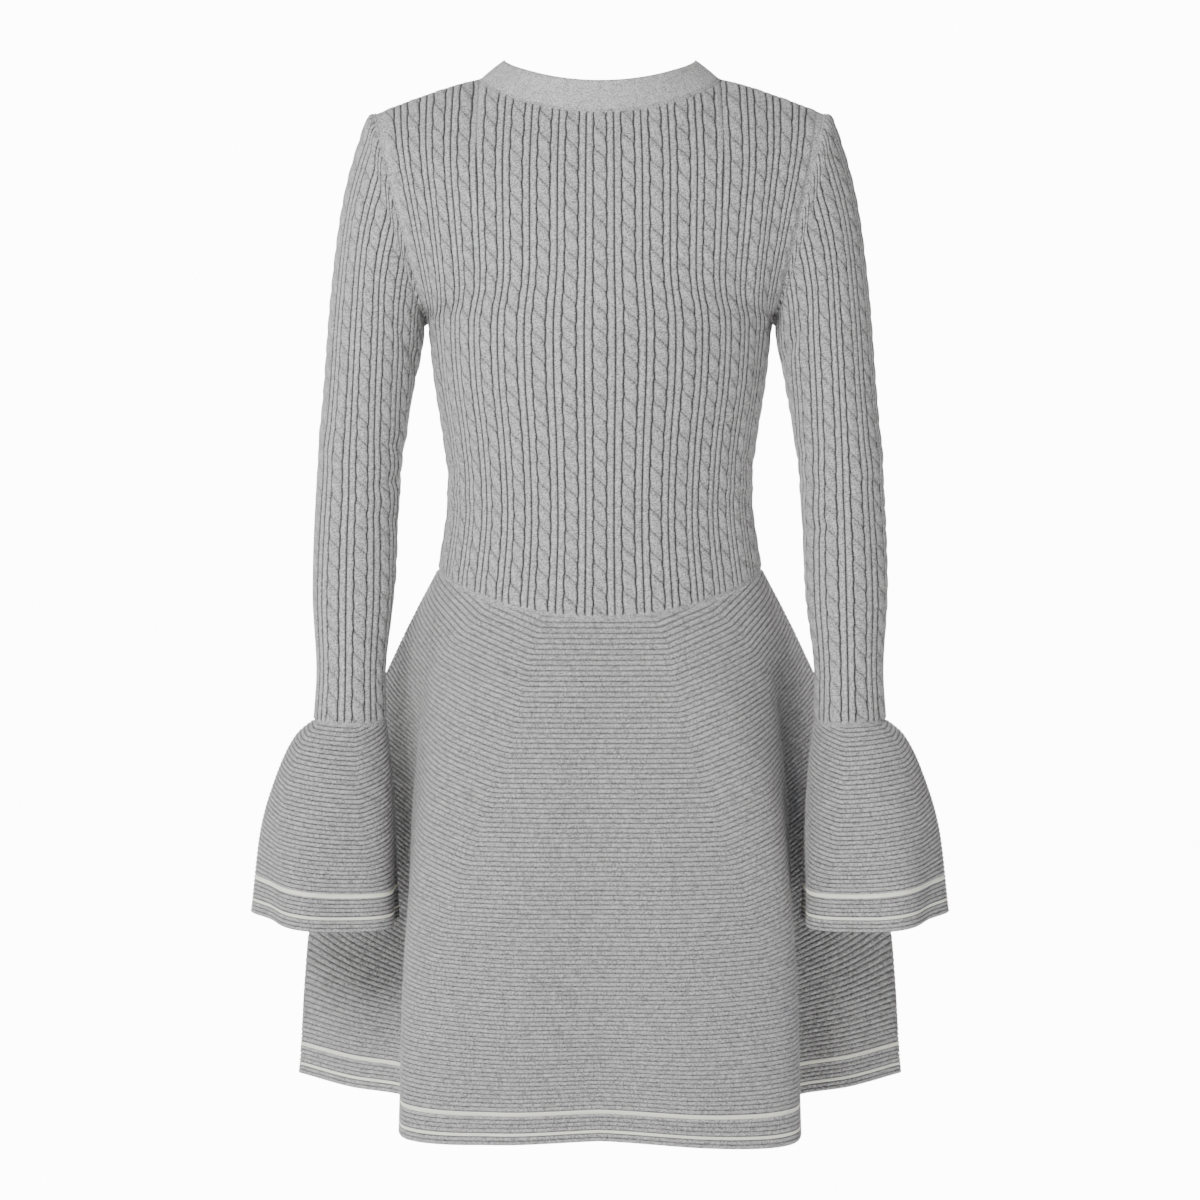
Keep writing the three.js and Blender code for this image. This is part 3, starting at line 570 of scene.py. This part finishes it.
# down the skirt, then x, y and z at the seven places from the middle to the side
SKIRT_ROWS = {
    "back": [
        (0.16, [0, 32, 87, 120, 135, 149, 158], [116, 115, 104, 76, 46, 16, -14],
         [-482, -480, -468, -464, -461, -456, -449]),
        (0.36, [0, 51, 122, 143, 146, 172, 195], [134, 134, 113, 62, 16, -8, -36],
         [-562, -560, -548, -549, -545, -539, -536]),
        (0.65, [0, 72, 144, 151, 150, 193, 230], [147, 148, 120, 56, 2, -18, -46],
         [-681, -679, -670, -671, -668, -662, -658]),
        (1.00, [0, 84, 151, 156, 156, 202, 243.5], [153, 156, 130, 66, 8, -14, -48],
         [-823, -826, -826, -820, -815, -811, -806]),
    ],
    "front": [
        (0.16, [0, 32, 76, 108, 128, 148, 158], [118, 117, 108, 89, 70, 43, 14],
         [-478, -476, -467, -463, -460, -455, -449]),
        (0.36, [0, 48, 104, 132, 151, 182, 195], [135, 138, 128, 101, 88, 69, 36],
         [-559, -557, -550, -547, -545, -541, -536]),
        (0.65, [0, 64, 124, 146, 169, 213, 230], [144, 154, 146, 111, 100, 87, 46],
         [-680, -679, -673, -670, -667, -663, -658]),
        (1.00, [0, 76, 136, 155, 180, 227, 243.5], [146, 166, 160, 118, 104, 92, 48],
         [-824, -827, -825, -818, -814, -810, -806]),
    ],
}


def skirt(side, across, down):
    share, sign = np.abs(across), np.sign(across)
    waist = BODICE_ROWS[0]
    depth, mid_z = waist[4:6] if side == "back" else waist[6:8]
    quarter = curve(SKIRT_SHARES, WAIST_SHARES, share) * sign
    swell = np.sin(np.pi * np.minimum(share / VALLEY_SHARE, 1)) ** 2
    points = [section(side, waist[1], waist[2], waist[3], depth, mid_z, quarter)]
    for at, *table in SKIRT_ROWS[side]:
        x, y, z = (curve(SKIRT_SHARES, values, share) for values in table)
        lean = np.where(across > 0, SKIRT_LEAN * at**3 * swell, 0)
        points.append(np.array([x * sign, y * SIGN[side], z - lean]))
    knots = [0.0] + [row[0] for row in SKIRT_ROWS[side]]
    points = np.array(points)
    return np.stack([curve(knots, points[:, c], down) for c in range(3)], axis=-1)


def skirt_normal(side, across, down):
    u = np.clip(across, -0.997, 0.997)
    return facing(lambda a, b: skirt(side, a, np.maximum(b, 0)), u, np.minimum(down, 0.997), SIGN[side])


def skirt_normal_at_waist(side, quarter):
    share = curve(WAIST_SHARES, SKIRT_SHARES, np.abs(quarter)) * np.sign(quarter)
    return skirt_normal(side, share, np.full((1, len(share)), 0.004))[0]


BAND_WIDTH = 24.5
BAND_LEAN = {"back": 0.1, "side": 1.25, "front": 0.35}


def neck_band(at, v):
    turn = at * 2 * np.pi
    across = np.sin(turn) * NECK_SHARE
    is_back = np.cos(turn) >= 0
    around = np.abs(np.sin(turn))
    base, along = np.zeros((len(at), 3)), np.zeros((len(at), 3))
    for side, chosen in (("back", is_back), ("front", ~is_back)):
        if not chosen.any():
            continue
        cut = top_of(side, across[chosen])[None]
        base[chosen] = bodice(side, across[chosen], cut)[0]
        toward = unit(-base[chosen] * np.array([1, 1, 0]))
        lean = mix(BAND_LEAN[side], BAND_LEAN["side"], around[chosen] ** 3)[:, None]
        rise = unit(np.array([0, 0, 1.0]) + toward * lean)
        if side == "front":
            lower = bodice(side, across[chosen], cut - 0.01)[0]
            rise = unit(mix(rise, unit(base[chosen] - lower), (1 - around[chosen] ** 2)[:, None]))
        along[chosen] = rise
    return base + along * v[..., None] * BAND_WIDTH


def neck_lean(side, across):
    turn = np.arcsin(np.clip(across / NECK_SHARE, -1, 1)) / (2 * np.pi)
    at = turn if side == "back" else 0.5 - turn
    band = facing(neck_band, at, np.full((1, len(at)), 0.01), 1.0)[0]
    cut = np.minimum(top_of(side, across), 0.997)[None]
    panel = facing(lambda a, b: bodice(side, a, b), across, cut, -SIGN[side])[0]
    return mitre(band, panel)


BACK_CREASES = [
    (-0.80, 0.20, 0.22, 0.018, 0.10, 1.6), (0.82, 0.22, 0.22, 0.018, -0.10, 1.5),
    (-0.86, 0.27, 0.18, 0.016, 0.12, -1.3), (0.86, 0.29, 0.18, 0.016, -0.12, -1.3),
    (-0.78, 0.66, 0.10, 0.10, 1.6, 2.2), (0.78, 0.66, 0.10, 0.10, -1.6, 2.2),
]
back = bodice_panel("back", BACK_CREASES)
finish_piece(back, rib_knit, "bodice_back")

# Front of the bodice
# The same ribs and cables as the back, with a round scooped neckline cut lower.
# The photo doesn't show it, so it is finished plainly.
FRONT_CREASES = [
    (-0.82, 0.20, 0.2, 0.018, 0.1, 1.4), (0.80, 0.21, 0.2, 0.018, -0.1, 1.5),
    (-0.8, 0.62, 0.1, 0.1, 1.5, 2.0), (0.8, 0.63, 0.1, 0.1, -1.5, 2.0),
]
front = bodice_panel("front", FRONT_CREASES)
finish_piece(front, rib_knit, "bodice_front")

# Sleeves
# Each is one shaped tube of the same ribs and cables, linked into the armhole and closed along
# the underarm. It hangs with soft folds inside the elbow and below the shoulder.
# Repeats round the sleeve, and how far round the first cable lies, by how far down. Those that the
# narrower forearm has no room for run into the underarm seam.
SLEEVE_REPEATS = ([0, 0.115, 0.34, 0.56, 0.78, 0.94, 1], [14.2, 13.6, 12, 10, 8.9, 8.3, 8.2])
FIRST_CABLE = ([0, 0.115, 0.34, 0.56, 0.78, 1], [0.132, 0.137, 0.158, 0.172, 0.172, 0.171])
UNDERARM_STRIP = 0.012
SEAM_TURN = {"turn": 0.045, "down": 0.024}


def sleeve_turns(repeats, down, ahead):
    """How far round the sleeve each column lies at each row, with 0.5 at the underarm seam."""
    around = np.interp(down, *FIRST_CABLE) + ahead + (repeats - 1.5) / np.interp(down, *SLEEVE_REPEATS)
    limit = 0.5 - UNDERARM_STRIP
    far = np.abs(around)
    last = np.where(around < 0, far[:, :1], far[:, -1:])
    crowded = limit + UNDERARM_STRIP * (far - limit) / np.maximum(last - limit, 1e-6)
    turn = np.sign(around) * np.where(far > limit, crowded, far)
    near_seam = 1 - smooth(down, 0, SEAM_TURN["down"])
    return turn - SEAM_TURN["turn"] * np.sin(2 * np.pi * turn) * near_seam


def sleeve_tube(name, flip, creases, ahead):
    rows = 196
    repeats = (repeat_stops(4) + np.arange(-8, 8)[:, None]).ravel()
    widest = SLEEVE_REPEATS[1][0]
    first = 1.5 - (FIRST_CABLE[1][0] + ahead) * widest
    ends = first - widest / 2, first + widest / 2
    repeats = np.concatenate([ends[:1], repeats[(repeats > ends[0] + 0.01) & (repeats < ends[1] - 0.01)], ends[1:]])
    down = rows_of(rows, len(repeats))
    level = sleeve(sleeve_turns(repeats, down, ahead), down)
    length, along = lengths(level), SLEEVE_ROWS[0][2] - level[..., 2]
    handed = -1 if flip else 1
    turn = sleeve_turns(handed * pinched(handed * repeats, along), down, ahead)
    turn[:, 0], turn[:, -1] = -0.5, 0.5
    turn, repeats, down = turn[:, :-1] % 1.0, repeats[:-1], down[:, :-1]
    length, along = length[:, :-1], along[:, :-1]
    middle = sleeve(turn, down)
    out = sleeve_normal(turn, down)
    plain = smooth(np.abs(turn - 0.5), 0.008, 0.03) * smooth(length, 0, 1.2)
    plain = plain * smooth(length[-1] - length, 0.3, 2.2)
    height, light = rib_and_cable(handed * repeats, along, plain)
    folds = crease((turn + 0.5) % 1.0 - 0.5, down, creases) + crease((turn + 0.5) % 1.0 + 0.5, down, creases)
    top, bottom = turn[0], turn[-1]
    up = 1 - (1 - UNDERARM) * np.minimum(top, 1 - top) * 2
    out[0] = np.where((top <= 0.5)[:, None], arm_lean("back", up), arm_lean("front", up))
    out[-1] = mitre(out[-1], cuff_normal(bottom, np.full((1, len(bottom)), 0.004))[0])
    middle[0, :, 0] += SEAM_GAP / 2
    middle[-1, :, 2] += SEAM_GAP / 2
    inner_rows = np.unique(np.linspace(0, rows - 1, 22).astype(int))
    outside = middle + out * (WALL / 2 + height + folds)[..., None]
    inside = (middle + out * (folds - WALL / 2)[..., None])[inner_rows]
    if flip:
        outside, inside = outside * [-1, 1, 1], inside * [-1, 1, 1]
    return wall(name, outside, inside, inner_rows, True,
                (handed * np.append(repeats, ends[1]) * REPEAT_IN_UV, along / 1000),
                {"light": (light, 0.7), "raised": (plain, 0)})


RIGHT_FOLDS = [
    (0.42, 0.46, 0.14, 0.026, 0.12, -1.5), (0.40, 0.53, 0.15, 0.026, -0.10, -1.5),
    (0.36, 0.62, 0.13, 0.016, 0.08, -1.5), (0.40, 0.20, 0.10, 0.03, 0.5, -2.6),
    (0.10, 0.50, 0.14, 0.03, 0.2, 1.4), (-0.4, 0.5, 0.15, 0.02, 0.1, -2.0),
]
LEFT_FOLDS = [
    (0.41, 0.44, 0.14, 0.017, 0.10, -2.2), (0.40, 0.52, 0.15, 0.016, -0.12, -2.4),
    (0.35, 0.60, 0.13, 0.017, 0.10, -1.6), (0.40, 0.21, 0.10, 0.03, 0.5, -2.4),
    (0.12, 0.47, 0.14, 0.03, 0.2, 1.3), (-0.4, 0.48, 0.15, 0.02, 0.1, -2.0),
]
right_sleeve = sleeve_tube("sleeve_right_knit", False, RIGHT_FOLDS, 0.03)
finish_piece(right_sleeve, rib_knit, "sleeve_right")
left_sleeve = sleeve_tube("sleeve_left_knit", True, LEFT_FOLDS, 0.0)
finish_piece(left_sleeve, rib_knit, "sleeve_left")

# Skirt
# Two flared halves in fine horizontal ripples. Lines of widened stitches fan out from the waist
# seam and bend the ripples. Two cream stripes are knitted in above the hem.
SKIRT_RIDGES = 112
SKIRT_LENGTH = 424.0
RIPPLE = 1.1
# Where the two lines of widened stitches lie on each side, by how far down the skirt they have come
INNER_GORE = ([0, 0.16, 0.36, 0.65, 0.8, 1], [0.42, 0.31, 0.30, 0.35, 0.40, 0.46])
OUTER_GORE = ([0, 0.16, 0.3, 0.5, 1], [0.60, 0.65, 0.69, 0.74, 0.76])
# How steeply the ridges climb outwards beyond each line; a fold's depth counts for less than its width
INNER_CLIMB = 0.34
OUTER_CLIMB = 0.60
DEPTH_SHARE = 0.5
RIDGE_STOPS = (0, 0.14, 0.38, 0.62, 0.86)
TIGHTENING = 0.85
FINE_ROWS = 500
ripple_knit = knit_cloth("ripple_knit", GREY, PALE_GREY, 0.22, [(8.3, 2.3), (24.5, 3.1)], sideways=True)


def ridge_count(ridges, down):
    """Ridges lie a little closer together towards the hem."""
    return ridges * down * (TIGHTENING + (1 - TIGHTENING) * down)


def along_ridges(phases, ridges):
    """Rows of a grid that follow the ridges: how far down each point lies, and its phase there.
    Rows of the ridges that the seam cuts off crowd into its plain strip."""
    fine = np.linspace(0, 1, len(phases))
    goals = np.append((np.arange(ridges)[:, None] + np.array(RIDGE_STOPS)).ravel(), ridges)[:, None]
    start, full = phases[:1], phases[:1] + 1.5
    wanted = np.where(goals < full, start + (full - start) * goals / full, goals)
    down = [np.interp(goal, column, fine) for goal, column in zip(wanted.T, phases.T)]
    return np.stack(down, axis=1), wanted


def beyond(line, across, walked):
    """Millimetres of cloth that lie outside a line of widened stitches, at each point."""
    middle = len(across) // 2
    edge = np.empty_like(walked)
    for row, place in enumerate(curve(*line, np.linspace(0, 1, len(walked)))):
        edge[row, :middle] = np.interp(-place, across, walked[row])
        edge[row, middle:] = np.interp(place, across, walked[row])
    return np.maximum(np.sign(across) * (walked - edge), 0)


def skirt_phases(side, across):
    """Level ridges in the middle gore, and ridges that climb outwards beyond each line of widened
    stitches. They run parallel to the hem when they reach it."""
    fine = rows_of(FINE_ROWS, len(across))
    form = skirt(side, across, fine)
    count = ridge_count(SKIRT_RIDGES, fine)
    centre_z = form[:, len(across) // 2, 2]
    pitch = np.abs(np.gradient(centre_z) / np.gradient(count[:, 0]))[:, None]
    level = np.interp(-form[..., 2], -centre_z, count[:, 0])
    level = level - np.maximum(form[..., 2] - centre_z[0], 0) / pitch[0]
    steps = np.linalg.norm(np.diff(form, axis=1)[..., :2] * [1, DEPTH_SHARE], axis=-1)
    walked = np.concatenate([np.zeros((FINE_ROWS, 1)), np.cumsum(steps, axis=1)], axis=1)
    climb = INNER_CLIMB * beyond(INNER_GORE, across, walked)
    climb += (OUTER_CLIMB - INNER_CLIMB) * beyond(OUTER_GORE, across, walked)
    return mix(level + climb / pitch, count, smooth(fine, 0.48, 0.96))


def ripples(phase, from_seam):
    """Round ridges with narrow troughs between them darkened by painted shade, and a plain strip beside the seam.
    """
    trough = np.abs((phase + 0.5) % 1.0 - 0.5)
    ridge = np.sin(np.pi * np.clip(trough, 0, 0.5)) ** 0.7
    strip = smooth(from_seam, 1.5, 4)
    return ridge * strip, mix(1.0, smooth(trough, 0, 0.22), strip)


def skirt_half(side, folds):
    columns = 105
    across = np.linspace(-1, 1, columns)
    down, phase = along_ridges(skirt_phases(side, across), SKIRT_RIDGES)
    middle = skirt(side, across, down)
    out = skirt_normal(side, across, down)
    ridge, light = ripples(phase, down * SKIRT_LENGTH)
    soft = crease(across, down, folds)
    edge = middle[0, :, 0] / BODICE_ROWS[0][1]
    quarter = np.arcsin(np.clip(edge, -1, 1)) / (np.pi / 2)
    panel = facing(lambda a, b: bodice(side, a, b), np.clip(quarter, -0.997, 0.997),
                   np.full((1, columns), 0.003), -SIGN[side])[0]
    out[0] = mitre(out[0], panel)
    for column in (0, -1):
        at = np.array([across[column]])
        one = down[:, [column]]
        out[:, column] = mitre(skirt_normal("back", at, one)[:, 0], skirt_normal("front", at, one)[:, 0])
        out[0, column] = unit(out[0, column] * np.array([1, 0, 1]))
    middle[0, :, 2] -= SEAM_GAP / 2
    middle[:, [0, -1], 1] += SIGN[side] * SEAM_GAP / 2
    inner_rows = np.unique(np.linspace(0, len(down) - 1, 24).astype(int))
    outside = middle + out * (WALL / 2 + RIPPLE * ridge + soft)[..., None]
    inside = (middle + out * (soft - WALL / 2)[..., None])[inner_rows]
    return wall(f"skirt_{side}_knit", outside, inside, inner_rows, False,
                ((across + 1) * 0.375, (1 - down) * SKIRT_LENGTH / 1000), {"light": (light, 0.7)})


BACK_FOLDS = [(-0.22, 0.96, 0.05, 0.17, 0.0, -3.0), (0.30, 0.97, 0.05, 0.14, 0.0, -1.6)]
FRONT_FOLDS = [(-0.27, 0.97, 0.05, 0.15, 0.0, -2.0), (0.2, 0.96, 0.05, 0.17, 0.0, -2.4)]
skirt_back = skirt_half("back", BACK_FOLDS)
finish_piece(skirt_back, ripple_knit, "skirt_back")
skirt_front = skirt_half("front", FRONT_FOLDS)
finish_piece(skirt_front, ripple_knit, "skirt_front")

# Bell cuffs
# Short flared tubes in the same ripples as the skirt, linked on at the wrist, with the same two
# stripes. Their hems hang in soft flutes.
CUFF_RIDGES = 47
CUFF_LENGTH = 165.0
# Half way round, from the outer edge to the inner: where the lines of widened stitches lie, and by
# how many ridges the cloth outside each line climbs
OUTER_LINE, OUTER_RISE = 0.11, 2.0
INNER_LINE, INNER_RISE = (0.29, 0.38), 4.2
cuff_knit = knit_cloth("cuff_knit", GREY, PALE_GREY, 0.12, [(10.5, 2.3), (28.0, 3.1)], sideways=True)


def cuff_phases(turn):
    fine = rows_of(FINE_ROWS, len(turn))
    half = np.minimum(turn, 1 - turn)
    inner_line = mix(*INNER_LINE, fine)
    climb = OUTER_RISE * np.maximum(1 - half / OUTER_LINE, 0)
    climb = climb + INNER_RISE * np.maximum((half - inner_line) / (0.5 - inner_line), 0)
    return ridge_count(CUFF_RIDGES, fine) + climb * (1 - smooth(fine, 0.5, 0.97))


def bell_cuff(name, flip):
    columns = 80
    turn = np.arange(columns) / columns
    down, phase = along_ridges(cuff_phases(turn), CUFF_RIDGES)
    middle = cuff(turn, down)
    out = cuff_normal(turn, down)
    ridge, light = ripples(phase, down * CUFF_LENGTH)
    out[0] = mitre(out[0], sleeve_normal(turn, np.full((1, columns), 0.996))[0])
    middle[0, :, 2] -= SEAM_GAP / 2
    inner_rows = np.unique(np.linspace(0, len(down) - 1, 14).astype(int))
    outside = middle + out * (WALL / 2 + RIPPLE * ridge)[..., None]
    inside = (middle - out * WALL / 2)[inner_rows]
    if flip:
        outside, inside = outside * [-1, 1, 1], inside * [-1, 1, 1]
    return wall(name, outside, inside, inner_rows, True,
                (np.arange(columns + 1) / columns * 0.3, (1 - down) * CUFF_LENGTH / 1000),
                {"light": (light, 0.7)})


right_cuff = bell_cuff("cuff_right_knit", False)
finish_piece(right_cuff, cuff_knit, "cuff_right")
left_cuff = bell_cuff("cuff_left_knit", True)
finish_piece(left_cuff, cuff_knit, "cuff_left")

# Neck band
# One strip of fine plain knit, linked round the neckline, that stands up and leans inwards.
band_knit = knit_cloth("band_knit", (0.33, 0.326, 0.328), (0.66, 0.654, 0.656), 0.5)


def plain_band():
    columns, rows = 240, 9
    at = np.arange(columns) / columns
    v = rows_of(rows, columns)
    middle = neck_band(at, v)
    out = facing(neck_band, at, v, 1.0)
    turn = at * 2 * np.pi
    across = np.sin(turn) * NECK_SHARE
    for side, chosen in (("back", np.cos(turn) >= 0), ("front", np.cos(turn) < 0)):
        out[0, chosen] = neck_lean(side, across[chosen])
    middle[0] += unit(middle[1] - middle[0]) * SEAM_GAP / 2
    crown = (0.5 * np.sin(np.pi * np.clip(v, 0, 1)) ** 0.6)[..., None]
    outside, inside = middle + out * (WALL / 2 + crown), middle - out * WALL / 2
    # No painted shade on the outside; the inside is painted a little darker, at 0.8.
    return wall("neck_band_knit", outside, inside, np.arange(rows), True,
                (np.arange(columns + 1) / columns * 0.5, v * BAND_WIDTH / 1000),
                {"light": (np.ones((rows, columns)), 0.8)})


band = plain_band()
finish_piece(band, band_knit, "neck_band")

# Linked seams
# A chain of small loops in the same yarn closes the waist, the armholes, the wrists and the
# neckline. One loop is shaped once and repeated along each seam by a node tree.
loop_yarn = knit_cloth("linking_yarn", GREY, PALE_GREY, 1.0)


def stitch_tree():
    tree = bpy.data.node_groups.new("linked_seam", "GeometryNodeTree")
    tree.interface.new_socket("Seam", in_out="INPUT", socket_type="NodeSocketGeometry")
    for label, value in (("Spacing", 0.0026), ("Loop length", 0.0018), ("Loop width", 0.001)):
        socket = tree.interface.new_socket(label, in_out="INPUT", socket_type="NodeSocketFloat")
        socket.default_value = value
    tree.interface.new_socket("Yarn", in_out="INPUT", socket_type="NodeSocketMaterial")
    tree.interface.new_socket("Stitches", in_out="OUTPUT", socket_type="NodeSocketGeometry")
    new, link = tree.nodes.new, tree.links.new
    source, result = new("NodeGroupInput"), new("NodeGroupOutput")
    points = new("GeometryNodeCurveToPoints")
    points.mode = "LENGTH"
    loop = new("GeometryNodeMeshUVSphere")
    loop.inputs["Segments"].default_value = 6
    loop.inputs["Rings"].default_value = 4
    loop.inputs["Radius"].default_value = 1.0
    size = new("ShaderNodeCombineXYZ")
    placed = new("GeometryNodeInstanceOnPoints")
    real = new("GeometryNodeRealizeInstances")
    coloured = new("GeometryNodeSetMaterial")
    link(source.outputs["Seam"], points.inputs["Curve"])
    link(source.outputs["Spacing"], points.inputs["Length"])
    for axis in ("X", "Y"):
        link(source.outputs["Loop width"], size.inputs[axis])
    link(source.outputs["Loop length"], size.inputs["Z"])
    link(points.outputs["Points"], placed.inputs["Points"])
    link(points.outputs["Rotation"], placed.inputs["Rotation"])
    link(loop.outputs["Mesh"], placed.inputs["Instance"])
    link(size.outputs[0], placed.inputs["Scale"])
    link(placed.outputs["Instances"], real.inputs["Geometry"])
    link(real.outputs["Geometry"], coloured.inputs["Geometry"])
    link(source.outputs["Yarn"], coloured.inputs["Material"])
    link(coloured.outputs["Geometry"], result.inputs["Stitches"])
    return tree


linked_seam = stitch_tree()


def seam(name, line, closed):
    """Stitches along a line of points, given in millimetres."""
    path = bpy.data.curves.new(name + "_path", "CURVE")
    path.dimensions = "3D"
    spline = path.splines.new("POLY")
    spline.points.add(len(line) - 1)
    spline.points.foreach_set("co", np.column_stack([line / 1000, np.ones(len(line))]).ravel())
    spline.use_cyclic_u = closed
    guide = bpy.data.objects.new(name + "_guide", path)
    bpy.context.scene.collection.objects.link(guide)
    modifier = guide.modifiers.new("stitches", "NODES")
    modifier.node_group = linked_seam
    for item in linked_seam.interface.items_tree:
        if item.in_out == "INPUT" and item.name == "Yarn":
            modifier[item.identifier] = loop_yarn
    depsgraph = bpy.context.evaluated_depsgraph_get()
    mesh = bpy.data.meshes.new_from_object(guide.evaluated_get(depsgraph))
    bpy.data.objects.remove(guide)
    bpy.data.curves.remove(path)
    mesh.polygons.foreach_set("use_smooth", np.ones(len(mesh.polygons), bool))
    piece = bpy.data.objects.new(name, mesh)
    bpy.context.scene.collection.objects.link(piece)
    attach(piece, "root")
    return piece


PROUD = WALL / 2
turns = np.linspace(-1, 1, 160)
waist_lines = []
for side in ("back", "front"):
    edge = bodice(side, turns, np.zeros((1, len(turns))))[0]
    away = skirt_normal_at_waist(side, turns)
    waist_lines.append(edge + away * PROUD)
seam("waist_seam", np.concatenate([waist_lines[0], waist_lines[1][::-1][1:-1]]), True)
around = np.arange(150) / 150
near = np.minimum(around, 1 - around)
height = 1 - (1 - UNDERARM) * near * 2
arm_line = sleeve(around, np.zeros((1, 150)))[0]
arm_line += np.where((around <= 0.5)[:, None], arm_lean("back", height), arm_lean("front", height)) * PROUD
seam("armhole_seam_right", arm_line, True)
seam("armhole_seam_left", arm_line * [-1, 1, 1], True)
wrist_line = cuff(around, np.zeros((1, 150)))[0]
wrist_line += cuff_normal(around, np.full((1, 150), 0.004))[0] * PROUD
seam("wrist_seam_right", wrist_line, True)
seam("wrist_seam_left", wrist_line * [-1, 1, 1], True)
neck_turn = np.arange(220) / 220
neck_line = neck_band(neck_turn, np.zeros((1, 220)))[0]
neck_line += facing(neck_band, neck_turn, np.full((1, 220), 0.02), 1.0)[0] * PROUD
seam("neckline_seam", neck_line, True)

# Floor, light and camera
# A white sweep that glows with a painted pool of light behind the dress, one broad soft light above the camera and
# a weaker one on each side.
white = bpy.data.materials.new("studio_white_glow")
white.use_nodes = True
glowing_paper = white.node_tree.nodes["Principled BSDF"]
glowing_paper.inputs["Base Color"].default_value = (0.88, 0.88, 0.88, 1)
glowing_paper.inputs["Roughness"].default_value = 0.9
glowing_paper.inputs["Emission Color"].default_value = (1, 1, 1, 1)
# The sweep glows by itself in one wide soft spot behind the dress, a painted pool of light where there is no lamp:
# bright as far as the picture reaches, and falling away outside it.
GLOW_CENTRE = (0, 2.4, -0.8)
glow_place = white.node_tree.nodes.new("ShaderNodeTexCoord")
glow_reach = white.node_tree.nodes.new("ShaderNodeVectorMath")
glow_reach.operation = "DISTANCE"
glow_reach.inputs[1].default_value = GLOW_CENTRE
glow = white.node_tree.nodes.new("ShaderNodeMapRange")
glow.interpolation_type = "SMOOTHSTEP"
for slot, value in (("From Min", 1.4), ("From Max", 2.0), ("To Min", 11.0), ("To Max", 0.15)):
    glow.inputs[slot].default_value = value
white.node_tree.links.new(glow_place.outputs["Object"], glow_reach.inputs[0])
white.node_tree.links.new(glow_reach.outputs["Value"], glow.inputs["Value"])
# Painted light: the sweep's emission strength, strongest near GLOW_CENTRE.
white.node_tree.links.new(glow.outputs["Result"], glowing_paper.inputs["Emission Strength"])
FLOOR, BEND, BEND_START = -1.15, 1.6, 1.4
corner = np.linspace(0, np.pi / 2, 13)
profile = [(-7.0, FLOOR), *zip(BEND_START + BEND * np.sin(corner), FLOOR + BEND * (1 - np.cos(corner))),
           (BEND_START + BEND, 6.0)]
sweep_mesh = bpy.data.meshes.new("studio_sweep")
sweep_mesh.from_pydata([(x, y, z) for y, z in profile for x in (-8, 8)], [],
                       [(2 * k, 2 * k + 1, 2 * k + 3, 2 * k + 2) for k in range(len(profile) - 1)])
sweep_mesh.polygons.foreach_set("use_smooth", np.ones(len(profile) - 1, bool))
sweep_mesh.materials.append(white)
sweep = bpy.data.objects.new("studio_sweep", sweep_mesh)
bpy.context.scene.collection.objects.link(sweep)

target = Vector((0, 0, -0.414))


def softbox(name, place, size, watts):
    light = bpy.data.lights.new(name, "AREA")
    light.size = size
    light.energy = watts
    lamp = bpy.data.objects.new(name, light)
    lamp.location = place
    lamp.rotation_euler = (target - Vector(place)).to_track_quat("-Z", "Y").to_euler()
    bpy.context.scene.collection.objects.link(lamp)
    return lamp


lamps = [
    softbox("key_light", (-1.3, -3.0, 1.5), 1.4, 166),
    softbox("left_light", (-2.6, -0.8, 0.4), 1.4, 24),
    softbox("right_light", (2.6, -1.4, 0.1), 1.6, 18),
]
world = bpy.data.worlds.new("studio")
world.use_nodes = True
world.node_tree.nodes["Background"].inputs[0].default_value = (0.93, 0.94, 0.95, 1)
world.node_tree.nodes["Background"].inputs[1].default_value = 0.03
bpy.context.scene.world = world

DISTANCE = 4.4
ELEVATION = np.radians(5.5)
camera_data = bpy.data.cameras.new("camera")
camera_data.sensor_width = 36
camera_data.lens = 36 * DISTANCE / 0.96
camera = bpy.data.objects.new("camera", camera_data)
camera.location = target + Vector((0, -np.cos(ELEVATION), np.sin(ELEVATION))) * DISTANCE
camera.rotation_euler = (target - camera.location).to_track_quat("-Z", "Y").to_euler()
bpy.context.scene.collection.objects.link(camera)
bpy.context.scene.camera = camera
